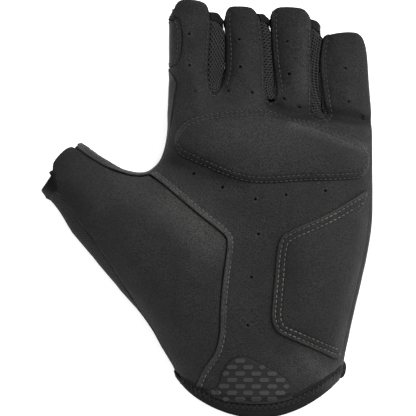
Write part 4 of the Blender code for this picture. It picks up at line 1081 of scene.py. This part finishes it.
def studGroup():
    # lozenges set in a brick pattern on the patch, where they clear its edge
    tree, given = newGroup("gripStuds", gripStuds)
    box = addNode(tree, "GeometryNodeBoundBox", {"Geometry": given["Geometry"]})
    middle = addNode(tree, "ShaderNodeVectorMath", {0: box.outputs["Min"], 1: box.outputs["Max"]}, operation="ADD")
    centre = addNode(tree, "ShaderNodeVectorMath", {0: middle, "Scale": 0.5}, operation="SCALE")
    count = 21
    wide = addNode(tree, "ShaderNodeMath", {0: given["Across"], 1: count - 1.0}, operation="MULTIPLY")
    long = addNode(tree, "ShaderNodeMath", {0: given["Along"], 1: count - 1.0}, operation="MULTIPLY")
    grid = addNode(tree, "GeometryNodeMeshGrid", {"Size X": wide, "Size Y": long,
                                                  "Vertices X": count, "Vertices Y": count})
    number = addNode(tree, "GeometryNodeInputIndex")
    row = addNode(tree, "ShaderNodeMath", {0: number, 1: 2.0}, operation="MODULO")
    slip = addNode(tree, "ShaderNodeMath", {0: row, 1: given["Across"]}, operation="MULTIPLY")
    half = addNode(tree, "ShaderNodeMath", {0: slip, 1: 0.5}, operation="MULTIPLY")
    offset = addNode(tree, "ShaderNodeCombineXYZ", {"X": half, "Z": 0.05})
    place = addNode(tree, "ShaderNodeVectorMath", {0: centre, 1: offset}, operation="ADD")
    placed = addNode(tree, "GeometryNodeSetPosition", {"Geometry": grid.outputs["Mesh"],
                                                       "Offset": place})
    edge = addNode(tree, "GeometryNodeInputNamedAttribute", {"Name": "edge"}, data_type="FLOAT")
    ray = addNode(tree, "GeometryNodeRaycast", {"Target Geometry": given["Geometry"],
                                                "Attribute": edge.outputs["Attribute"],
                                                "Ray Direction": (0, 0, -1), "Ray Length": 0.2},
                  data_type="FLOAT")
    clear = addNode(tree, "FunctionNodeCompare", {0: ray.outputs["Attribute"], 1: given["Margin"]},
                    data_type="FLOAT", operation="GREATER_THAN")
    good = addNode(tree, "FunctionNodeBooleanMath", {0: ray.outputs["Is Hit"], 1: clear},
                   operation="AND")
    top = addNode(tree, "ShaderNodeMath", {0: given["Size"], 1: 0.82}, operation="MULTIPLY")
    shape = addNode(tree, "GeometryNodeMeshCone", {"Vertices": 6, "Radius Bottom": given["Size"],
                                                   "Radius Top": top, "Depth": given["Height"]})
    stretch = addNode(tree, "ShaderNodeCombineXYZ", {"X": given["Stretch"], "Y": 1.0, "Z": 1.0})
    lozenge = addNode(tree, "GeometryNodeTransform", {"Geometry": shape.outputs["Mesh"], "Scale": stretch})
    landingHeld = addNode(tree, "GeometryNodeStoreNamedAttribute", {"Geometry": placed, "Name": "landing",
                                                             "Value": ray.outputs["Hit Position"]},
                   data_type="FLOAT_VECTOR")
    facingHeld = addNode(tree, "GeometryNodeStoreNamedAttribute", {"Geometry": landingHeld, "Name": "facing",
                                                              "Value": ray.outputs["Hit Normal"]},
                    data_type="FLOAT_VECTOR")
    cull = addNode(tree, "FunctionNodeBooleanMath", {0: good}, operation="NOT")
    kept = addNode(tree, "GeometryNodeDeleteGeometry", {"Geometry": facingHeld, "Selection": cull})
    landing = addNode(tree, "GeometryNodeInputNamedAttribute", {"Name": "landing"}, data_type="FLOAT_VECTOR")
    landed = addNode(tree, "GeometryNodeSetPosition", {"Geometry": kept,
                                                       "Position": landing.outputs["Attribute"]})
    facing = addNode(tree, "GeometryNodeInputNamedAttribute", {"Name": "facing"}, data_type="FLOAT_VECTOR")
    turn = addNode(tree, "FunctionNodeAxesToRotation", {"Primary Axis": facing.outputs["Attribute"],
                                                        "Secondary Axis": (1, 0, 0)},
                   primary_axis="Z", secondary_axis="X")
    studs = addNode(tree, "GeometryNodeInstanceOnPoints", {"Points": landed,
                                                           "Instance": lozenge,
                                                           "Rotation": turn})
    return painted(tree, studs, printStud)


patchCopy = newObject("grip_studs", bpy.data.objects["grip_patch_sewn"].data.copy())
runGroup(studGroup(), patchCopy)
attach(patchCopy, "root")
print("studs set:", len(patchCopy.data.vertices) // 12)


strapBevel = {"width": 0.0004, "segments": 3}
bm = mergedMesh("closure_strap")
bmesh.ops.dissolve_limit(bm, angle_limit=0.02, verts=bm.verts, edges=bm.edges)
strapMesh = bpy.data.meshes.new("closure_strap_moulded")
bm.to_mesh(strapMesh)
bm.free()
strapMesh.materials.append(strapRubber)
strap = newObject("closure_strap_moulded", strapMesh)
softEdge = strap.modifiers.new("softEdge", "BEVEL")
softEdge.width = strapBevel["width"]
softEdge.segments = strapBevel["segments"]
strapMesh.shade_smooth()
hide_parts("closure_strap")
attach(strap, "root")
print("strap made")


studio = {"floor": "#f4f4f4", "floorGlow": 0.6, "world": 0.56, "keyPower": 13.5, "keyPlace": (0.55, 0.45, 0.72),
          "keySize": 0.7, "fillPower": 1.0, "fillPlace": (-0.6, 0.1, 0.6), "fillSize": 0.6}
floorShape = {"half": 3, "level": -0.0002}
view = {"width": 0.1789, "height": 0.009, "distance": 1.2, "sensor": 0.036}

floorMesh = bpy.data.meshes.new("floor")
corners = [(x * floorShape["half"], y * floorShape["half"], floorShape["level"])
           for x, y in ((-1, -1), (1, -1), (1, 1), (-1, 1))]
floorMesh.from_pydata(corners, [], [(0, 1, 2, 3)])
floorMaterial, _, floorShader = newMaterial("floor", 0.9, Specular_IOR_Level=0.1)
floorShader.inputs["Base Color"].default_value = toLinear(studio["floor"])
floorShader.inputs["Emission Color"].default_value = (1, 1, 1, 1)
floorShader.inputs["Emission Strength"].default_value = studio["floorGlow"]
floorMesh.materials.append(floorMaterial)
floor = newObject("floor", floorMesh)

world = bpy.data.worlds.new("studio")
world.use_nodes = True
world.node_tree.nodes["Background"].inputs["Color"].default_value = (1, 1, 1, 1)
world.node_tree.nodes["Background"].inputs["Strength"].default_value = studio["world"]
bpy.context.scene.world = world


def areaLight(name, place, size, power):
    light = bpy.data.lights.new(name, "AREA")
    light.shape = "SQUARE"
    light.size = size
    light.energy = power
    lamp = newObject(name, light)
    lamp.location = place
    lamp.rotation_euler = (-Vector(place)).to_track_quat("-Z", "Y").to_euler()


areaLight("key", studio["keyPlace"], studio["keySize"], studio["keyPower"])
areaLight("fill", studio["fillPlace"], studio["fillSize"], studio["fillPower"])

cameraData = bpy.data.cameras.new("camera")
cameraData.sensor_width = view["sensor"] * 1000
cameraData.lens = (view["distance"] - view["height"]) * view["sensor"] / view["width"] * 1000
cameraData.clip_start = 0.05
camera = newObject("camera", cameraData)
camera.location = (0, 0, view["distance"])
bpy.context.scene.camera = camera

bpy.context.scene.view_settings.view_transform = "Standard"

print("scene ready")
